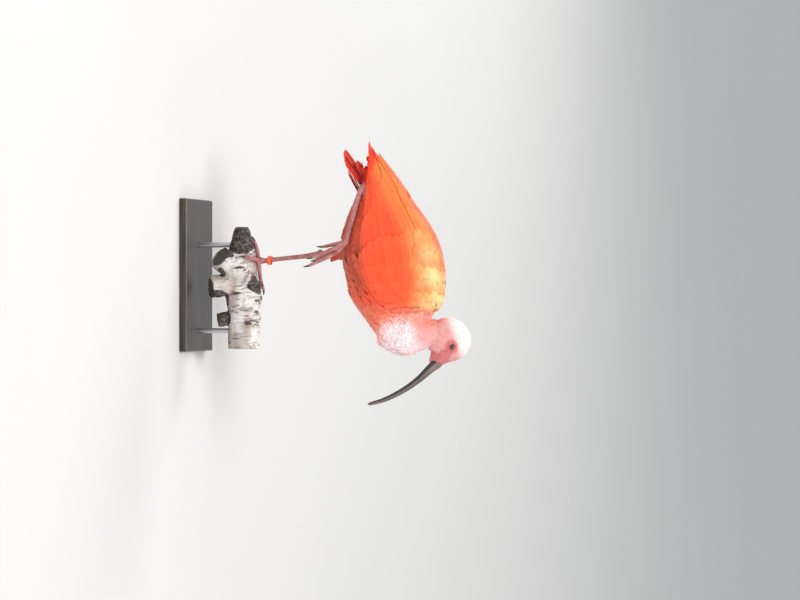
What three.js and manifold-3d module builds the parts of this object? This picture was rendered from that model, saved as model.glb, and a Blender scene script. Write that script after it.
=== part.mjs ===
// A scarlet ibis, life size, as a museum shows it: standing on its left leg on the knotted, cut end
// of a birch branch, the right leg tucked up, the neck drawn in and the long curved bill pointing
// forward and down. Millimetres, +X towards the bill, +Y to the bird's left, +Z up.
// Heights inside the figure are measured from the top of the branch under the standing foot.
import * as THREE from "three";
import { mergeVertices } from "three/addons/utils/BufferGeometryUtils.js";
import Module from "manifold-3d";

const wasm = await Module();
wasm.setup();

// Driving sizes
const SOLE_HEIGHT = 100; // of the branch's top above the floor
const GAP = 0.3; // left between pieces that touch
const VARIED = 2.5; // how much one feather is longer or shorter than the next
const RIGHT = -1; // the side of the bird nearest the viewer
const LEFT = 1;
const BODY_REAR = -140; // where the tail grows from the torso
const BODY_FRONT = 121;

// Outer envelope of trunk and folded wings: x, top, widest level, half width, bottom
const ENVELOPE = [
  [-197, 181, 173, 6, 166],
  [-187, 187, 174, 10, 167],
  [-162, 206, 177, 19, 168],
  [-134, 227, 180, 29, 160],
  [-106, 245, 182, 38, 149],
  [-79, 265, 183, 46, 138],
  [-51, 280, 184.5, 53, 132],
  [-23, 288, 187, 57.5, 134],
  [4, 291, 190.5, 60, 139.5],
  [32, 289, 196, 59, 147],
  [49, 283.5, 200, 56, 157],
  [64, 273, 205, 51, 168],
  [85, 256, 213, 43, 183.5],
  [101, 250, 221, 34, 196.5],
  [112, 246, 228, 24, 209],
  [118, 243, 232, 16, 221],
  [122, 239, 235, 6, 232],
];
// How far the trunk itself lies inside that envelope: x, at the back, at the flank
const TRUNK_INSET = [
  [-140, 32, 12],
  [-106, 22, 9],
  [-79, 6, 9],
  [-51, 3, 8],
  [20, 2, 8],
  [60, 1, 3],
  [85, 0, 0],
  [122, 0, 0],
];
// Folded wing on that envelope, in degrees round from the back's midline: x, upper edge, lower edge
const WING_EDGES = [
  [-197, 20, 92],
  [-173, 8, 92],
  [-148, 4, 90],
  [-106, 4, 93],
  [-70, 5, 97],
  [-51, 6, 101],
  [-30, 6, 105],
  [-7, 6, 107],
  [9, 6, 103],
  [20, 6, 98],
  [33, 6, 92],
  [46, 7, 84],
  [54, 20, 78],
  [60, 34, 73],
  [65, 52, 64],
];
const WING_FRONT = 64.5;
const WING_TIP = -172; // of the fleshy core, which the longest feathers pass
// Rows of feathers over a wing's core, from the hindmost and lowest to the foremost and highest:
// how many, and for the lowest and the highest one the root and the tip, as x and degrees
const WING_TIERS = [
  { count: 4, low: [-40, 95, -134, 95], high: [-52, 76, -196, 62] },
  { count: 7, low: [-4, 99, -84, 96], high: [-28, 13, -180, 17] },
  { count: 6, low: [22, 89, -36, 102], high: [12, 15, -72, 13] },
  { count: 5, low: [41, 76, -4, 98], high: [34, 16, -20, 13] },
  { count: 4, low: [52, 66, 22, 88], high: [48, 24, 14, 15] },
];
// A feather from root to tip: how far along, rise over the envelope, share of its width
const VANE = [
  [0, -8.6, 0.6],
  [0.25, -4.6, 0.92],
  [0.52, -3, 1],
  [0.84, -1.3, 0.88],
  [1, -0.8, 0.3],
];
const VANE_THICKNESS = 0.7;
const VANE_OVERLAP = 1.36; // width of a feather over the room it has in its row
const VANE_TILT = 0.72; // how far one edge lies above the middle, and the other below
// Tail feathers: pairs beside the middle one, where they start and end, as x and height, their
// spread to the side for each pair at root and tip, width, and how far each lies under the next
const TAIL = {
  pairs: 4,
  root: [-147, 173],
  tip: [-190, 138.6],
  spread: [2.6, 5.1],
  width: 12,
  step: 1.15,
};
// A tail feather: how far along, share of its width
const TAIL_VANE = [
  [0, 0.6],
  [0.35, 0.95],
  [0.8, 1],
  [1, 0.4],
];
const CORE_DEPTH = 6; // from the envelope in to the core that the feathers grow from
// How deep the folded wing is in from the envelope: x, depth
const WING_DEPTH = [
  [-172, 7],
  [-145, 8.4],
  [-105, 10],
  [40, 10],
  [65, 8],
];

// Neck: x, height, half thickness fore and aft, half width, from the breast up
const NECK = [
  [80, 196, 30, 30],
  [87, 218, 34, 34],
  [91, 238, 30.5, 29],
  [89, 256, 25.5, 23],
  [87.5, 272, 23.5, 20],
  [88, 292, 22, 17],
];
// Head, from the nape to the bill: crown x and height, throat x and height, half width
const HEAD = [
  [64.5, 298, 64.5, 291, 3],
  [67.5, 310, 67, 285, 11.5],
  [76.5, 322, 76, 275, 16.5],
  [90, 330, 88, 270, 18.5],
  [102, 331, 101, 270, 18],
  [115, 325.5, 111, 273, 16],
  [126, 312.5, 118, 272, 13.5],
  [131, 298, 124.5, 271.5, 10.5],
  [134.2, 289.5, 128.5, 272, 8.2],
];
const EYE = { x: 107, height: 305.5, out: 11.6, radius: 5.6 };
const LID = { radius: 4.9, thickness: 1.3, out: 3.4 }; // how far out from the eye's middle
// Bill, from its root to its tip: centre x and height, half depth, half width
const BILL = [
  [131.6, 280, 8, 7.2],
  [141, 268.2, 6.6, 6],
  [155.5, 252.3, 5.1, 4.9],
  [169, 233.8, 4.4, 4.2],
  [180, 214.5, 3.8, 3.6],
  [187.6, 197.5, 3.3, 3.1],
  [192.6, 180.5, 2.6, 2.5],
  [194.6, 171.5, 1.2, 1.2],
];
const MOUTH_LEVEL = -0.12; // of the bill's half depth, where the two halves meet
const BILL_ROOT = { x: 132, height: 280, pitch: 2.25 }; // the plane where bill and head meet
const NOSTRIL = { x: 140.5, out: 5.7, height: 272.4, length: 5, width: 0.9, pitch: 0.86 };

// Branch: x, height of its axis, radius
const BRANCH = [
  [-73, -23, 8],
  [-69, -23, 12.5],
  [-58, -23, 15.5],
  [-46, -23, 19],
  [-34, -23, 22],
  [-21, -23, 22.7],
  [2, -22.5, 24],
  [30, -20, 28.5],
  [60, -19.5, 26],
  [112, -20, 24],
];
const BRANCH_Y = 4;
// Stubs of sawn and broken side twigs: root, end, root radius, end radius
const STUBS = [
  [[0, 4, -24], [-27, -28, -49], 20, 17.5],
  [[12, 4, -24], [18, -21, -66], 19, 16.5],
  [[7, -12, -12], [18, -9, 14], 13, 3.5],
  [[62, 4, -24], [68, -9, -58], 13, 10],
];

// Legs: points are x, y, height, radius
const THIGH_LEFT = [
  [-46, 18, 174, 21],
  [-42, 18, 158, 22],
  [-37, 15, 142, 19],
  [-32, 11, 130, 13.5],
  [-27, 8.6, 124, 6.2],
];
const SHANK_LEFT = [
  [-26.8, 8.7, 126, 4],
  [-29, 7.5, 112, 3.9],
  [-30.6, 6.6, 102, 4.5],
  [-31, 6.2, 98.6, 5.3],
];
const TARSUS_LEFT = [
  [-31.2, 6.1, 100, 4.6],
  [-31.1, 6, 96.5, 5.9],
  [-30.9, 6, 93, 5.9],
  [-30, 6, 87, 4.9],
  [-28.5, 5.6, 74, 3.7],
  [-25.5, 5, 44, 3.5],
  [-22.6, 4.2, 18, 3.7],
  [-21.6, 4, 10.4, 4.6],
];
const THIGH_RIGHT = [
  [-14, -33, 168, 15],
  [-44, -31, 168, 13],
  [-78, -26, 172, 9.5],
  [-104, -21.5, 174, 6.3],
  [-116, -20.5, 174.4, 4.9],
];
const SHANK_RIGHT = [
  [-112, -20.8, 174.3, 3.6],
  [-120, -21.2, 174, 3.7],
  [-130, -22.6, 172, 4.4],
];
const HEEL_RIGHT = [-130.5, -22.8, 170, 6];
const TARSUS_RIGHT = [
  [-130.5, -22.8, 168, 4.4],
  [-118, -25.4, 164.8, 4.1],
  [-84, -32.4, 156.6, 3.9],
  [-56, -37.2, 149.4, 4.3],
  [-49, -38.4, 147.4, 4.9],
];
const BAND = { inner: 5.3, outer: 6.9, height: 6.5, tilt: 9, x: -22.4, y: 4.2, level: 20.5 };

// Stand
const BASE = { length: 230, width: 150, thickness: 12, bevel: 1.5 };
const ROD = { radius: 4, socket: 7 };
const ROD_PLACES = { stand_rod_front: [84, 4], stand_rod_rear: [-46, 4] };

const materials = Object.fromEntries(
  Object.entries({
    plumage: ["#e8542b", 0.75],
    flight: ["#dc4a22", 0.7],
    neck: ["#f0a394", 0.8],
    face: ["#d9898a", 0.6],
    bill: ["#5f4f4b", 0.45],
    leg: ["#c98c8b", 0.6],
    claw: ["#4b4340", 0.5],
    eye: ["#2a1214", 0.1],
    band: ["#ff4a26", 0.4],
    bark: ["#d9d3cb", 0.85],
    stand: ["#3a3836", 0.5],
  }).map(([name, [color, roughness]]) => [
    name,
    new THREE.MeshStandardMaterial({ color, roughness, metalness: 0 }),
  ]),
);

const figure = new THREE.Group();
figure.position.z = SOLE_HEIGHT;

// Smooth interpolation through rows of [x, value, value...]
function smooth(rows) {
  const slope = (i, k) => {
    if (i === 0 || i === rows.length - 1) {
      const [a, b] = i === 0 ? [rows[0], rows[1]] : [rows[i - 1], rows[i]];
      return (b[k] - a[k]) / (b[0] - a[0]);
    }
    const before = (rows[i][k] - rows[i - 1][k]) / (rows[i][0] - rows[i - 1][0]);
    const after = (rows[i + 1][k] - rows[i][k]) / (rows[i + 1][0] - rows[i][0]);
    return before * after <= 0 ? 0 : (2 * before * after) / (before + after);
  };
  return (x) => {
    const at = THREE.MathUtils.clamp(x, rows[0][0], rows.at(-1)[0]);
    const i = Math.min(rows.findLastIndex((row) => row[0] <= at), rows.length - 2);
    const width = rows[i + 1][0] - rows[i][0];
    const t = (at - rows[i][0]) / width;
    return rows[i].slice(1).map((value, index) => {
      const k = index + 1;
      return (
        value * (1 + 2 * t) * (1 - t) ** 2 +
        rows[i + 1][k] * t * t * (3 - 2 * t) +
        slope(i, k) * width * t * (1 - t) ** 2 +
        slope(i + 1, k) * width * t * t * (t - 1)
      );
    });
  };
}

// A closed solid from loose triangles, turned outwards
function solidOf(points, triangles) {
  const geometry = new THREE.BufferGeometry();
  geometry.setAttribute("position", new THREE.Float32BufferAttribute(points.flat(), 3));
  geometry.setIndex(triangles.flat());
  return solidFrom(geometry);
}

function solidFrom(geometry) {
  geometry.deleteAttribute("normal");
  geometry.deleteAttribute("uv");
  const merged = mergeVertices(geometry, 1e-3);
  const index = merged.index.array;
  const kept = [];
  for (let i = 0; i < index.length; i += 3) {
    const [a, b, c] = [index[i], index[i + 1], index[i + 2]];
    if (a !== b && b !== c && a !== c) kept.push(a, b, c);
  }
  const made = (triVerts) =>
    new wasm.Manifold(
      new wasm.Mesh({
        numProp: 3,
        vertProperties: new Float32Array(merged.attributes.position.array),
        triVerts: new Uint32Array(triVerts),
      }),
    );
  const solid = made(kept);
  return solid.volume() > 0 ? solid : made(kept.reverse());
}

// Rings of equally many points joined along their order, closed by a fan at each end
function loft(rings) {
  const count = rings[0].length;
  const points = rings.flat();
  const triangles = [];
  for (let i = 0; i + 1 < rings.length; i++) {
    for (let j = 0; j < count; j++) {
      const next = (j + 1) % count;
      const [a, b] = [i * count + j, i * count + next];
      triangles.push([a, b, b + count], [a, b + count, a + count]);
    }
  }
  for (const [ring, turned] of [[0, true], [rings.length - 1, false]]) {
    const centre = points.length;
    const sum = rings[ring].reduce((total, p) => total.map((v, k) => v + p[k]), [0, 0, 0]);
    points.push(sum.map((v) => v / count));
    for (let j = 0; j < count; j++) {
      const [a, b] = [ring * count + j, ring * count + ((j + 1) % count)];
      triangles.push(turned ? [b, a, centre] : [a, b, centre]);
    }
  }
  return solidOf(points, triangles);
}

// Two faces of equally many rows and columns, split alike and closed round their rim
function slab(outer, inner) {
  const rows = outer.length;
  const columns = outer[0].length;
  const points = [...outer.flat(), ...inner.flat()];
  const under = rows * columns;
  const triangles = [];
  for (let i = 0; i + 1 < rows; i++) {
    for (let j = 0; j + 1 < columns; j++) {
      const a = i * columns + j;
      const [b, c, d] = [a + columns, a + columns + 1, a + 1];
      triangles.push([a, b, c], [a, c, d]);
      triangles.push([a + under, c + under, b + under], [a + under, d + under, c + under]);
    }
  }
  const rim = [];
  for (let i = 0; i + 1 < rows; i++) rim.push([i * columns, (i + 1) * columns]);
  for (let j = 0; j + 1 < columns; j++) {
    const last = (rows - 1) * columns;
    rim.push([last + j, last + j + 1]);
    rim.push([j + 1, j]);
  }
  for (let i = rows - 1; i > 0; i--) {
    rim.push([i * columns + columns - 1, (i - 1) * columns + columns - 1]);
  }
  for (const [a, b] of rim) triangles.push([b, a, a + under], [b, a + under, b + under]);
  return solidOf(points, triangles);
}

// An oval ring round a centre, with its own reach up and down
function oval(centre, up, side, reachUp, reachDown, halfWidth, count) {
  return Array.from({ length: count }, (_, i) => {
    const angle = (2 * Math.PI * i) / count;
    const rise = Math.sin(angle) * (angle < Math.PI ? reachUp : reachDown);
    const out = Math.cos(angle) * halfWidth;
    return centre.map((c, k) => c + up[k] * rise + side[k] * out);
  });
}

// A round limb through points of x, y, height, radius, grown by extra all over
function limb(stations, count = 10, extra = 0, steps = 2) {
  const curve = new THREE.CatmullRomCurve3(
    stations.map(([x, y, z]) => new THREE.Vector3(x, y, z)),
    false,
    "centripetal",
  );
  const rings = [];
  const parts = (stations.length - 1) * steps;
  for (let i = 0; i <= parts; i++) {
    const u = i / parts;
    const centre = curve.getPoint(u);
    const along = curve.getTangent(u);
    const row = Math.min(Math.floor(i / steps), stations.length - 2);
    const t = i / steps - row;
    const radius = stations[row][3] * (1 - t) + stations[row + 1][3] * t + extra;
    const side = new THREE.Vector3(0, 1, 0).cross(along);
    if (side.length() < 0.2) side.set(1, 0, 0).cross(along);
    side.normalize();
    const up = along.clone().cross(side).normalize();
    if (extra && (i === 0 || i === parts)) centre.addScaledVector(along, i ? extra : -extra);
    rings.push(
      oval(centre.toArray(), up.toArray(), side.toArray(), radius, radius, radius, count),
    );
  }
  return loft(rings);
}

function largest(solid) {
  return solid.decompose().reduce((a, b) => (a.volume() > b.volume() ? a : b));
}

function fuse(solids) {
  return largest(solids.reduce((all, next) => all.add(next)));
}

function node(name, solid, material, parent = figure) {
  const { vertProperties, triVerts } = solid.getMesh();
  const geometry = new THREE.BufferGeometry();
  geometry.setAttribute("position", new THREE.BufferAttribute(vertProperties, 3));
  geometry.setIndex(new THREE.BufferAttribute(triVerts, 1));
  geometry.computeVertexNormals();
  const mesh = new THREE.Mesh(geometry, material);
  mesh.name = name;
  parent.add(mesh);
}

// A box turned by pitch about Y, so that its lower face passes through a point
function above(x, height, pitch) {
  const size = 600;
  const box = new THREE.BoxGeometry(size, size, size);
  box.translate(0, 0, size / 2);
  box.rotateY(pitch);
  box.translate(x, 0, height);
  return solidFrom(box);
}

// Trunk

const envelope = smooth(ENVELOPE);
const trunkInset = smooth(TRUNK_INSET);
const wingEdges = smooth(WING_EDGES);
const wingDepth = smooth(WING_DEPTH);

// A point of the envelope, round by degrees from the back's midline, moved out along its normal
function onEnvelope(x, degrees, side, out = 0) {
  const at = (atX, angle) => {
    const [top, level, halfWidth, bottom] = envelope(atX);
    const reach = Math.cos(angle) > 0 ? top - level : level - bottom;
    return new THREE.Vector3(
      atX,
      side * halfWidth * Math.sin(angle),
      level + reach * Math.cos(angle),
    );
  };
  const angle = THREE.MathUtils.degToRad(degrees);
  const step = 0.02;
  const place = at(x, angle);
  const along = at(x + 1, angle).sub(at(x - 1, angle));
  const round = at(x, angle + step).sub(at(x, angle - step));
  const normal = along.cross(round).multiplyScalar(side).normalize();
  return place.addScaledVector(normal, out).toArray();
}

function trunk() {
  const stations = [BODY_REAR, -128, -112, -94, -76, -56, -34, -10, 14, 36, 54, 70, 85];
  stations.push(98, 108, 115, BODY_FRONT);
  return loft(
    stations.map((x) => {
      const [top, level, halfWidth, bottom] = envelope(x);
      const [back, flank] = trunkInset(x);
      const reachUp = top - back - level;
      return oval(
        [x, 0, level], [0, 0, 1], [0, 1, 0], reachUp, level - bottom, halfWidth - flank, 20,
      );
    }),
  );
}

function neckColumn() {
  return loft(
    NECK.map(([x, height, fore, halfWidth]) =>
      oval([x, 0, height], [1, 0, 0], [0, 1, 0], fore, fore, halfWidth, 20),
    ),
  );
}

function skull() {
  return loft(
    HEAD.map(([crownX, crown, throatX, throat, halfWidth]) => {
      const up = new THREE.Vector3(crownX - throatX, 0, crown - throat);
      const reach = up.length() / 2;
      const centre = [(crownX + throatX) / 2, 0, (crown + throat) / 2];
      return oval(centre, up.normalize().toArray(), [0, 1, 0], reach, reach, halfWidth, 20);
    }),
  );
}

// The slab of a wing between two heights over the envelope, given for each place along it
function wingSlab(side, outer, inner, places, margin = 0) {
  const face = (rise) =>
    places.map((x) => {
      const [upper, lower] = wingEdges(x);
      const round = Array.from(
        { length: WING_COLUMNS + 1 },
        (_, j) => upper + ((lower - upper) * j) / WING_COLUMNS,
      );
      if (margin) round.splice(0, round.length, upper - margin, ...round, lower + margin);
      return round.map((degrees) => onEnvelope(x, degrees, side, rise(x)));
    });
  return slab(face(outer), face(inner));
}

// Room left in the trunk beyond the core's edges, in degrees, and for the fringe of feathers there
const CORE_MARGIN = 1.5;
const FRINGE_MARGIN = 9;
const FRINGE_DEPTH = 6.8;
const WING_COLUMNS = 5;
const WING_ROWS = 12;
const wingPlaces = Array.from(
  { length: WING_ROWS + 1 },
  (_, i) => WING_FRONT + (WING_TIP - WING_FRONT) * (i / WING_ROWS) ** 1.6,
);

// A feather lying along the envelope from its root to its tip, each given as x and degrees,
// with the degrees round that it has room for at root and tip
function vane(side, [rootX, rootDegrees, tipX, tipDegrees], [rootRoom, tipRoom]) {
  const face = (inward) =>
    VANE.map(([t, rise, share]) => {
      const x = rootX + (tipX - rootX) * t;
      const middle = rootDegrees + (tipDegrees - rootDegrees) * t;
      const half = ((rootRoom + (tipRoom - rootRoom) * t) * VANE_OVERLAP * share) / 2;
      return [-1, 1].map((across) => {
        const lift = rise - VANE_TILT * share * across - inward;
        return onEnvelope(x, middle + half * across, side, lift);
      });
    });
  return slab(face(0), face(VANE_THICKNESS));
}

const between = (low, high, t) => low.map((value, k) => value + (high[k] - value) * t);

function wing(side) {
  const core = wingSlab(side, () => -CORE_DEPTH, (x) => -wingDepth(x)[0], wingPlaces);
  const vanes = WING_TIERS.flatMap(({ count, low, high }, tier) =>
    Array.from({ length: count }, (_, i) => {
      const line = between(low, high, i / (count - 1));
      line[2] += VARIED * Math.sin(5 * i + 3 * tier);
      return vane(side, line, [(low[1] - high[1]) / (count - 1), (low[3] - high[3]) / (count - 1)]);
    }),
  );
  const midline = new THREE.BoxGeometry(400, 100, 400);
  midline.translate(0, -side * (50 - GAP / 2), 150);
  return largest(fuse([core, ...vanes]).subtract(solidFrom(midline)));
}

// The room that a wing takes in the trunk
function wingRoom(side) {
  const places = [WING_FRONT + 0.8, ...wingPlaces];
  const above = () => 9;
  const forCore = wingSlab(side, above, (x) => -wingDepth(x)[0] - GAP, places, CORE_MARGIN);
  return forCore.add(wingSlab(side, above, () => -FRINGE_DEPTH, places, FRINGE_MARGIN));
}

// Tail: the fleshy root, and feathers fanned over one another, the middle one on top
function tail() {
  const [top, level, halfWidth, bottom] = envelope(BODY_REAR);
  const [back, flank] = trunkInset(BODY_REAR);
  const rootUp = top - back - level;
  const stations = [
    [BODY_REAR - GAP, level, rootUp, level - bottom, halfWidth - flank],
    [-149, 171, 7, 9, 19],
    [-158, 163.5, 3.5, 4.5, 16],
  ];
  const stump = loft(
    stations.map(([x, height, up, down, half]) =>
      oval([x, 0, height], [0, 0, 1], [0, 1, 0], up, down, half, 16),
    ),
  );
  const { pairs, root, tip, spread, width, step } = TAIL;
  const along = new THREE.Vector3(tip[0] - root[0], 0, tip[1] - root[1]);
  const up = new THREE.Vector3(along.z, 0, -along.x).normalize();
  const vanes = Array.from({ length: 2 * pairs + 1 }, (_, i) => {
    const place = i - pairs;
    const rank = Math.abs(place);
    const aside = Math.sign(place);
    const face = (inward) =>
      TAIL_VANE.map(([t, share]) => {
        const length = t * (1 - 0.02 * rank * rank);
        return [-1, 0, 1].map((across) => {
          const y = place * (spread[0] + (spread[1] - spread[0]) * t);
          const lift = -step * rank + step * 0.8 * -across * aside * share - inward;
          return [
            root[0] + along.x * length + up.x * lift,
            y + (across * share * width) / 2,
            root[1] + along.z * length + up.z * lift,
          ];
        });
      });
    return slab(face(0), face(VANE_THICKNESS));
  });
  return fuse([stump, ...vanes]);
}

// Head pieces

function eyeball(side, extra = 0) {
  const ball = new THREE.SphereGeometry(EYE.radius + extra, 12, 8);
  ball.translate(EYE.x, side * EYE.out, EYE.height);
  return solidFrom(ball);
}

function eyelid(side) {
  const ring = new THREE.TorusGeometry(LID.radius, LID.thickness, 6, 16);
  ring.rotateX(Math.PI / 2);
  ring.translate(EYE.x, side * (EYE.out + LID.out), EYE.height);
  return solidFrom(ring);
}

function bill(part) {
  const curve = new THREE.CatmullRomCurve3(
    BILL.map(([x, , depth, width]) => new THREE.Vector3(x, depth, width)),
  );
  const line = new THREE.CatmullRomCurve3(
    BILL.map(([x, height]) => new THREE.Vector3(x, 0, height)),
  );
  const steps = 12;
  const sides = 6;
  const rings = Array.from({ length: steps + 1 }, (_, i) => {
    const u = i / steps;
    const centre = line.getPoint(u);
    const along = line.getTangent(u);
    const up = new THREE.Vector3(-along.z, 0, along.x);
    const { y: depth, z: width } = curve.getPoint(u);
    const split = depth * MOUTH_LEVEL + (part * GAP) / 2;
    const reach = part > 0 ? depth - split : depth + split;
    return Array.from({ length: sides + 1 }, (_, j) => {
      const angle = (Math.PI * j) / sides;
      const rise = split + part * reach * Math.sin(angle);
      const across = width * Math.cos(angle);
      return [centre.x + up.x * rise, across, centre.z + up.z * rise];
    });
  });
  return loft(rings);
}

function nostril(side) {
  const slit = new THREE.SphereGeometry(1, 8, 6);
  slit.scale(NOSTRIL.length, NOSTRIL.width, NOSTRIL.width);
  slit.rotateY(NOSTRIL.pitch);
  slit.translate(NOSTRIL.x, side * NOSTRIL.out, NOSTRIL.height);
  return solidFrom(slit);
}

// Branch, and the toes that grip it

const branchAt = smooth(BRANCH);

function branch() {
  const stations = [-73, -71, -69, -62, -54, -46, -34, -21, -8, 8, 22, 34, 48, 64, 88, 112];
  const log = loft(
    stations.map((x) => {
      const [height, radius] = branchAt(x);
      return oval([x, BRANCH_Y, height], [0, 0, 1], [0, 1, 0], radius, radius, radius, 18);
    }),
  );
  const stubs = STUBS.map(([root, end, rootRadius, endRadius]) =>
    limb([[...root, rootRadius], [...end, endRadius]], 12, 0, 1),
  );
  return fuse([log, ...stubs]);
}

// A point above the bark, round by degrees from the branch's top towards the bird's left
function onBranch(x, degrees, clearance) {
  const [height, radius] = branchAt(x);
  const angle = THREE.MathUtils.degToRad(degrees);
  const reach = radius + clearance;
  return [x, BRANCH_Y + reach * Math.sin(angle), height + reach * Math.cos(angle)];
}

const TOE_GAP = 0.55;
const CLAW_CURVE = 0.45; // how far a claw's tip bends down, as a share of its length
const CLAW_RADIUS = 0.86; // at its root, as a share of its toe's
const STANDING = { x: -21.5, palm: 4.8 };
// Toes of the standing foot: end x, end angle round the branch, root and end radius, claw length
const STANDING_TOES = {
  hallux: [-50, 4, 2.9, 2.3, 9],
  inner: [-27, -62, 3.3, 2.4, 9],
  middle: [21, 12, 3.4, 2.4, 10],
  outer: [-5, 92, 3.2, 2.3, 9],
};
const TOE_STEPS = 6;

function standingToe([endX, endAngle, rootRadius, endRadius]) {
  const points = [];
  for (let i = 0; i <= TOE_STEPS; i++) {
    const t = i / TOE_STEPS;
    const radius = rootRadius + (endRadius - rootRadius) * t;
    const x = STANDING.x + (endX - STANDING.x) * t;
    points.push([...onBranch(x, endAngle * t, TOE_GAP + radius), radius]);
  }
  return points;
}

// Toes of the raised foot: the points they pass, as x, y, height, radius
const RAISED = { joint: [-48.8, -38, 147.2], palm: 5 };
const RAISED_TOES = {
  hallux: [[-47, -37.5, 136, 3.2], [-44.4, -36.5, 124, 2.8], [-42.4, -36, 113.5, 2.3]],
  inner: [[-37.5, -33.4, 134, 3.4], [-29.5, -30.6, 117, 3], [-22.8, -28.6, 101.5, 2.4]],
  middle: [[-35, -40, 134.5, 3.7], [-24.5, -40, 115, 3.2], [-14.5, -38.5, 93, 2.4]],
  outer: [[-40.5, -45.5, 134.5, 3.3], [-33.6, -46.4, 117.5, 2.9], [-26.2, -45.4, 99.5, 2.3]],
};

// A curved claw that continues a toe beyond its end
function claw(points, length, droop) {
  const end = new THREE.Vector3(...points.at(-1));
  const before = new THREE.Vector3(...points.at(-2));
  const along = end.clone().sub(before).normalize();
  const radius = points.at(-1)[3] * CLAW_RADIUS;
  const stations = [0, 0.35, 0.7, 1].map((t) => {
    const p = end.clone().addScaledVector(along, GAP + length * t);
    p.addScaledVector(droop, length * CLAW_CURVE * t * t);
    return [...p.toArray(), radius * (1 - 0.82 * t)];
  });
  return limb(stations, 6, 0, 1);
}

function knob([x, y, z], radius) {
  const ball = new THREE.SphereGeometry(radius, 12, 8);
  ball.translate(x, y, z);
  return solidFrom(ball);
}

// A foot of its palm and toes, grown by extra all over
function foot(joint, palm, toes, extra = 0) {
  return fuse([knob(joint, palm + extra), ...toes.map((points) => limb(points, 8, extra, 1))]);
}

// Leg band, loose round the tarsus and resting on its lower end

function band() {
  const half = BAND.height / 2;
  const profile = [
    [BAND.inner, -half],
    [BAND.outer, -half],
    [BAND.outer, half],
    [BAND.inner, half],
    [BAND.inner, -half],
  ].map(([r, y]) => new THREE.Vector2(r, y));
  const ring = new THREE.LatheGeometry(profile, 24);
  ring.rotateX(Math.PI / 2);
  ring.rotateY(THREE.MathUtils.degToRad(BAND.tilt));
  ring.translate(BAND.x, BAND.y, BAND.level);
  return solidFrom(ring);
}

// Stand

function rod(place, extra = 0) {
  const [x, y] = place;
  const [height, radius] = branchAt(x);
  const floor = BASE.thickness - SOLE_HEIGHT - ROD.socket;
  const bottom = floor - extra;
  const top = height - radius + ROD.socket + extra;
  const post = new THREE.CylinderGeometry(ROD.radius + extra, ROD.radius + extra, top - bottom, 16);
  post.rotateX(Math.PI / 2);
  post.translate(x, y, (top + bottom) / 2);
  return solidFrom(post);
}

function base() {
  const { length, width, bevel, thickness } = BASE;
  const [x, y] = [length / 2 - bevel, width / 2 - bevel];
  const corners = [[-x, -y], [x, -y], [x, y], [-x, y]];
  const plate = new THREE.ExtrudeGeometry(
    new THREE.Shape(corners.map(([a, b]) => new THREE.Vector2(a, b))),
    { depth: thickness - 2 * bevel, bevelThickness: bevel, bevelSize: bevel, bevelSegments: 1 },
  );
  plate.translate(0, 0, bevel - SOLE_HEIGHT);
  return solidFrom(plate);
}

// Assembly

const standing = Object.entries(STANDING_TOES).map(([name, toe]) => [name, standingToe(toe)]);
const standingJoint = onBranch(STANDING.x, 0, TOE_GAP + STANDING.palm);
const raised = Object.entries(RAISED_TOES).map(([name, points]) => [
  name,
  [[...RAISED.joint, 4], ...points],
]);

const NECK_CUT = { x: 88, height: 236, pitch: 0.75 };
const HEAD_CUT = { x: 88, height: 281, pitch: 0.28 };

const flesh = trunk().add(neckColumn()).add(skull());
const overNeckCut = above(NECK_CUT.x, NECK_CUT.height, NECK_CUT.pitch);
const underNeckCut = above(NECK_CUT.x, NECK_CUT.height - GAP, NECK_CUT.pitch);
const overHeadCut = above(HEAD_CUT.x, HEAD_CUT.height, HEAD_CUT.pitch);
const underHeadCut = above(HEAD_CUT.x, HEAD_CUT.height - GAP, HEAD_CUT.pitch);
const front = above(60, 0, Math.PI / 2);
const upperBody = flesh.intersect(front);

const footRight = (extra) =>
  foot(RAISED.joint, RAISED.palm, raised.map(([, points]) => points), extra);
const footLeft = (extra) =>
  foot(standingJoint, STANDING.palm, standing.map(([, points]) => points), extra);
const tarsusRight = (extra) =>
  limb(TARSUS_RIGHT, 10, extra).add(knob(HEEL_RIGHT, HEEL_RIGHT[3] + extra));

let torso = flesh.subtract(underNeckCut.intersect(front));
for (const side of [LEFT, RIGHT]) torso = torso.subtract(wingRoom(side));
torso = torso.subtract(limb(THIGH_LEFT, 14, GAP)).subtract(limb(THIGH_RIGHT, 12, GAP));
torso = torso.subtract(tarsusRight(GAP)).subtract(limb(SHANK_RIGHT, 10, GAP));
node("torso", largest(torso.subtract(footRight(GAP))), materials.plumage);

const neck = upperBody.intersect(overNeckCut).subtract(underHeadCut);
node("neck", largest(neck.subtract(wingRoom(LEFT)).subtract(wingRoom(RIGHT))), materials.neck);

let head = flesh.intersect(overHeadCut);
for (const side of [LEFT, RIGHT]) head = head.add(eyelid(side)).subtract(eyeball(side, GAP));
const billRoot = above(BILL_ROOT.x, BILL_ROOT.height, BILL_ROOT.pitch);
head = head.subtract(billRoot);
node("head", largest(head), materials.face);

const beyondRoot = above(BILL_ROOT.x + GAP, BILL_ROOT.height, BILL_ROOT.pitch);
let upperBill = bill(1).intersect(beyondRoot);
for (const side of [LEFT, RIGHT]) upperBill = upperBill.subtract(nostril(side));
node("bill_upper", largest(upperBill), materials.bill);
node("bill_lower", largest(bill(-1).intersect(beyondRoot)), materials.bill);
node("eye_left", eyeball(LEFT), materials.eye);
node("eye_right", eyeball(RIGHT), materials.eye);

node("wing_left", wing(LEFT), materials.flight);
node("wing_right", wing(RIGHT), materials.flight);
node("tail", tail(), materials.flight);

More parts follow.
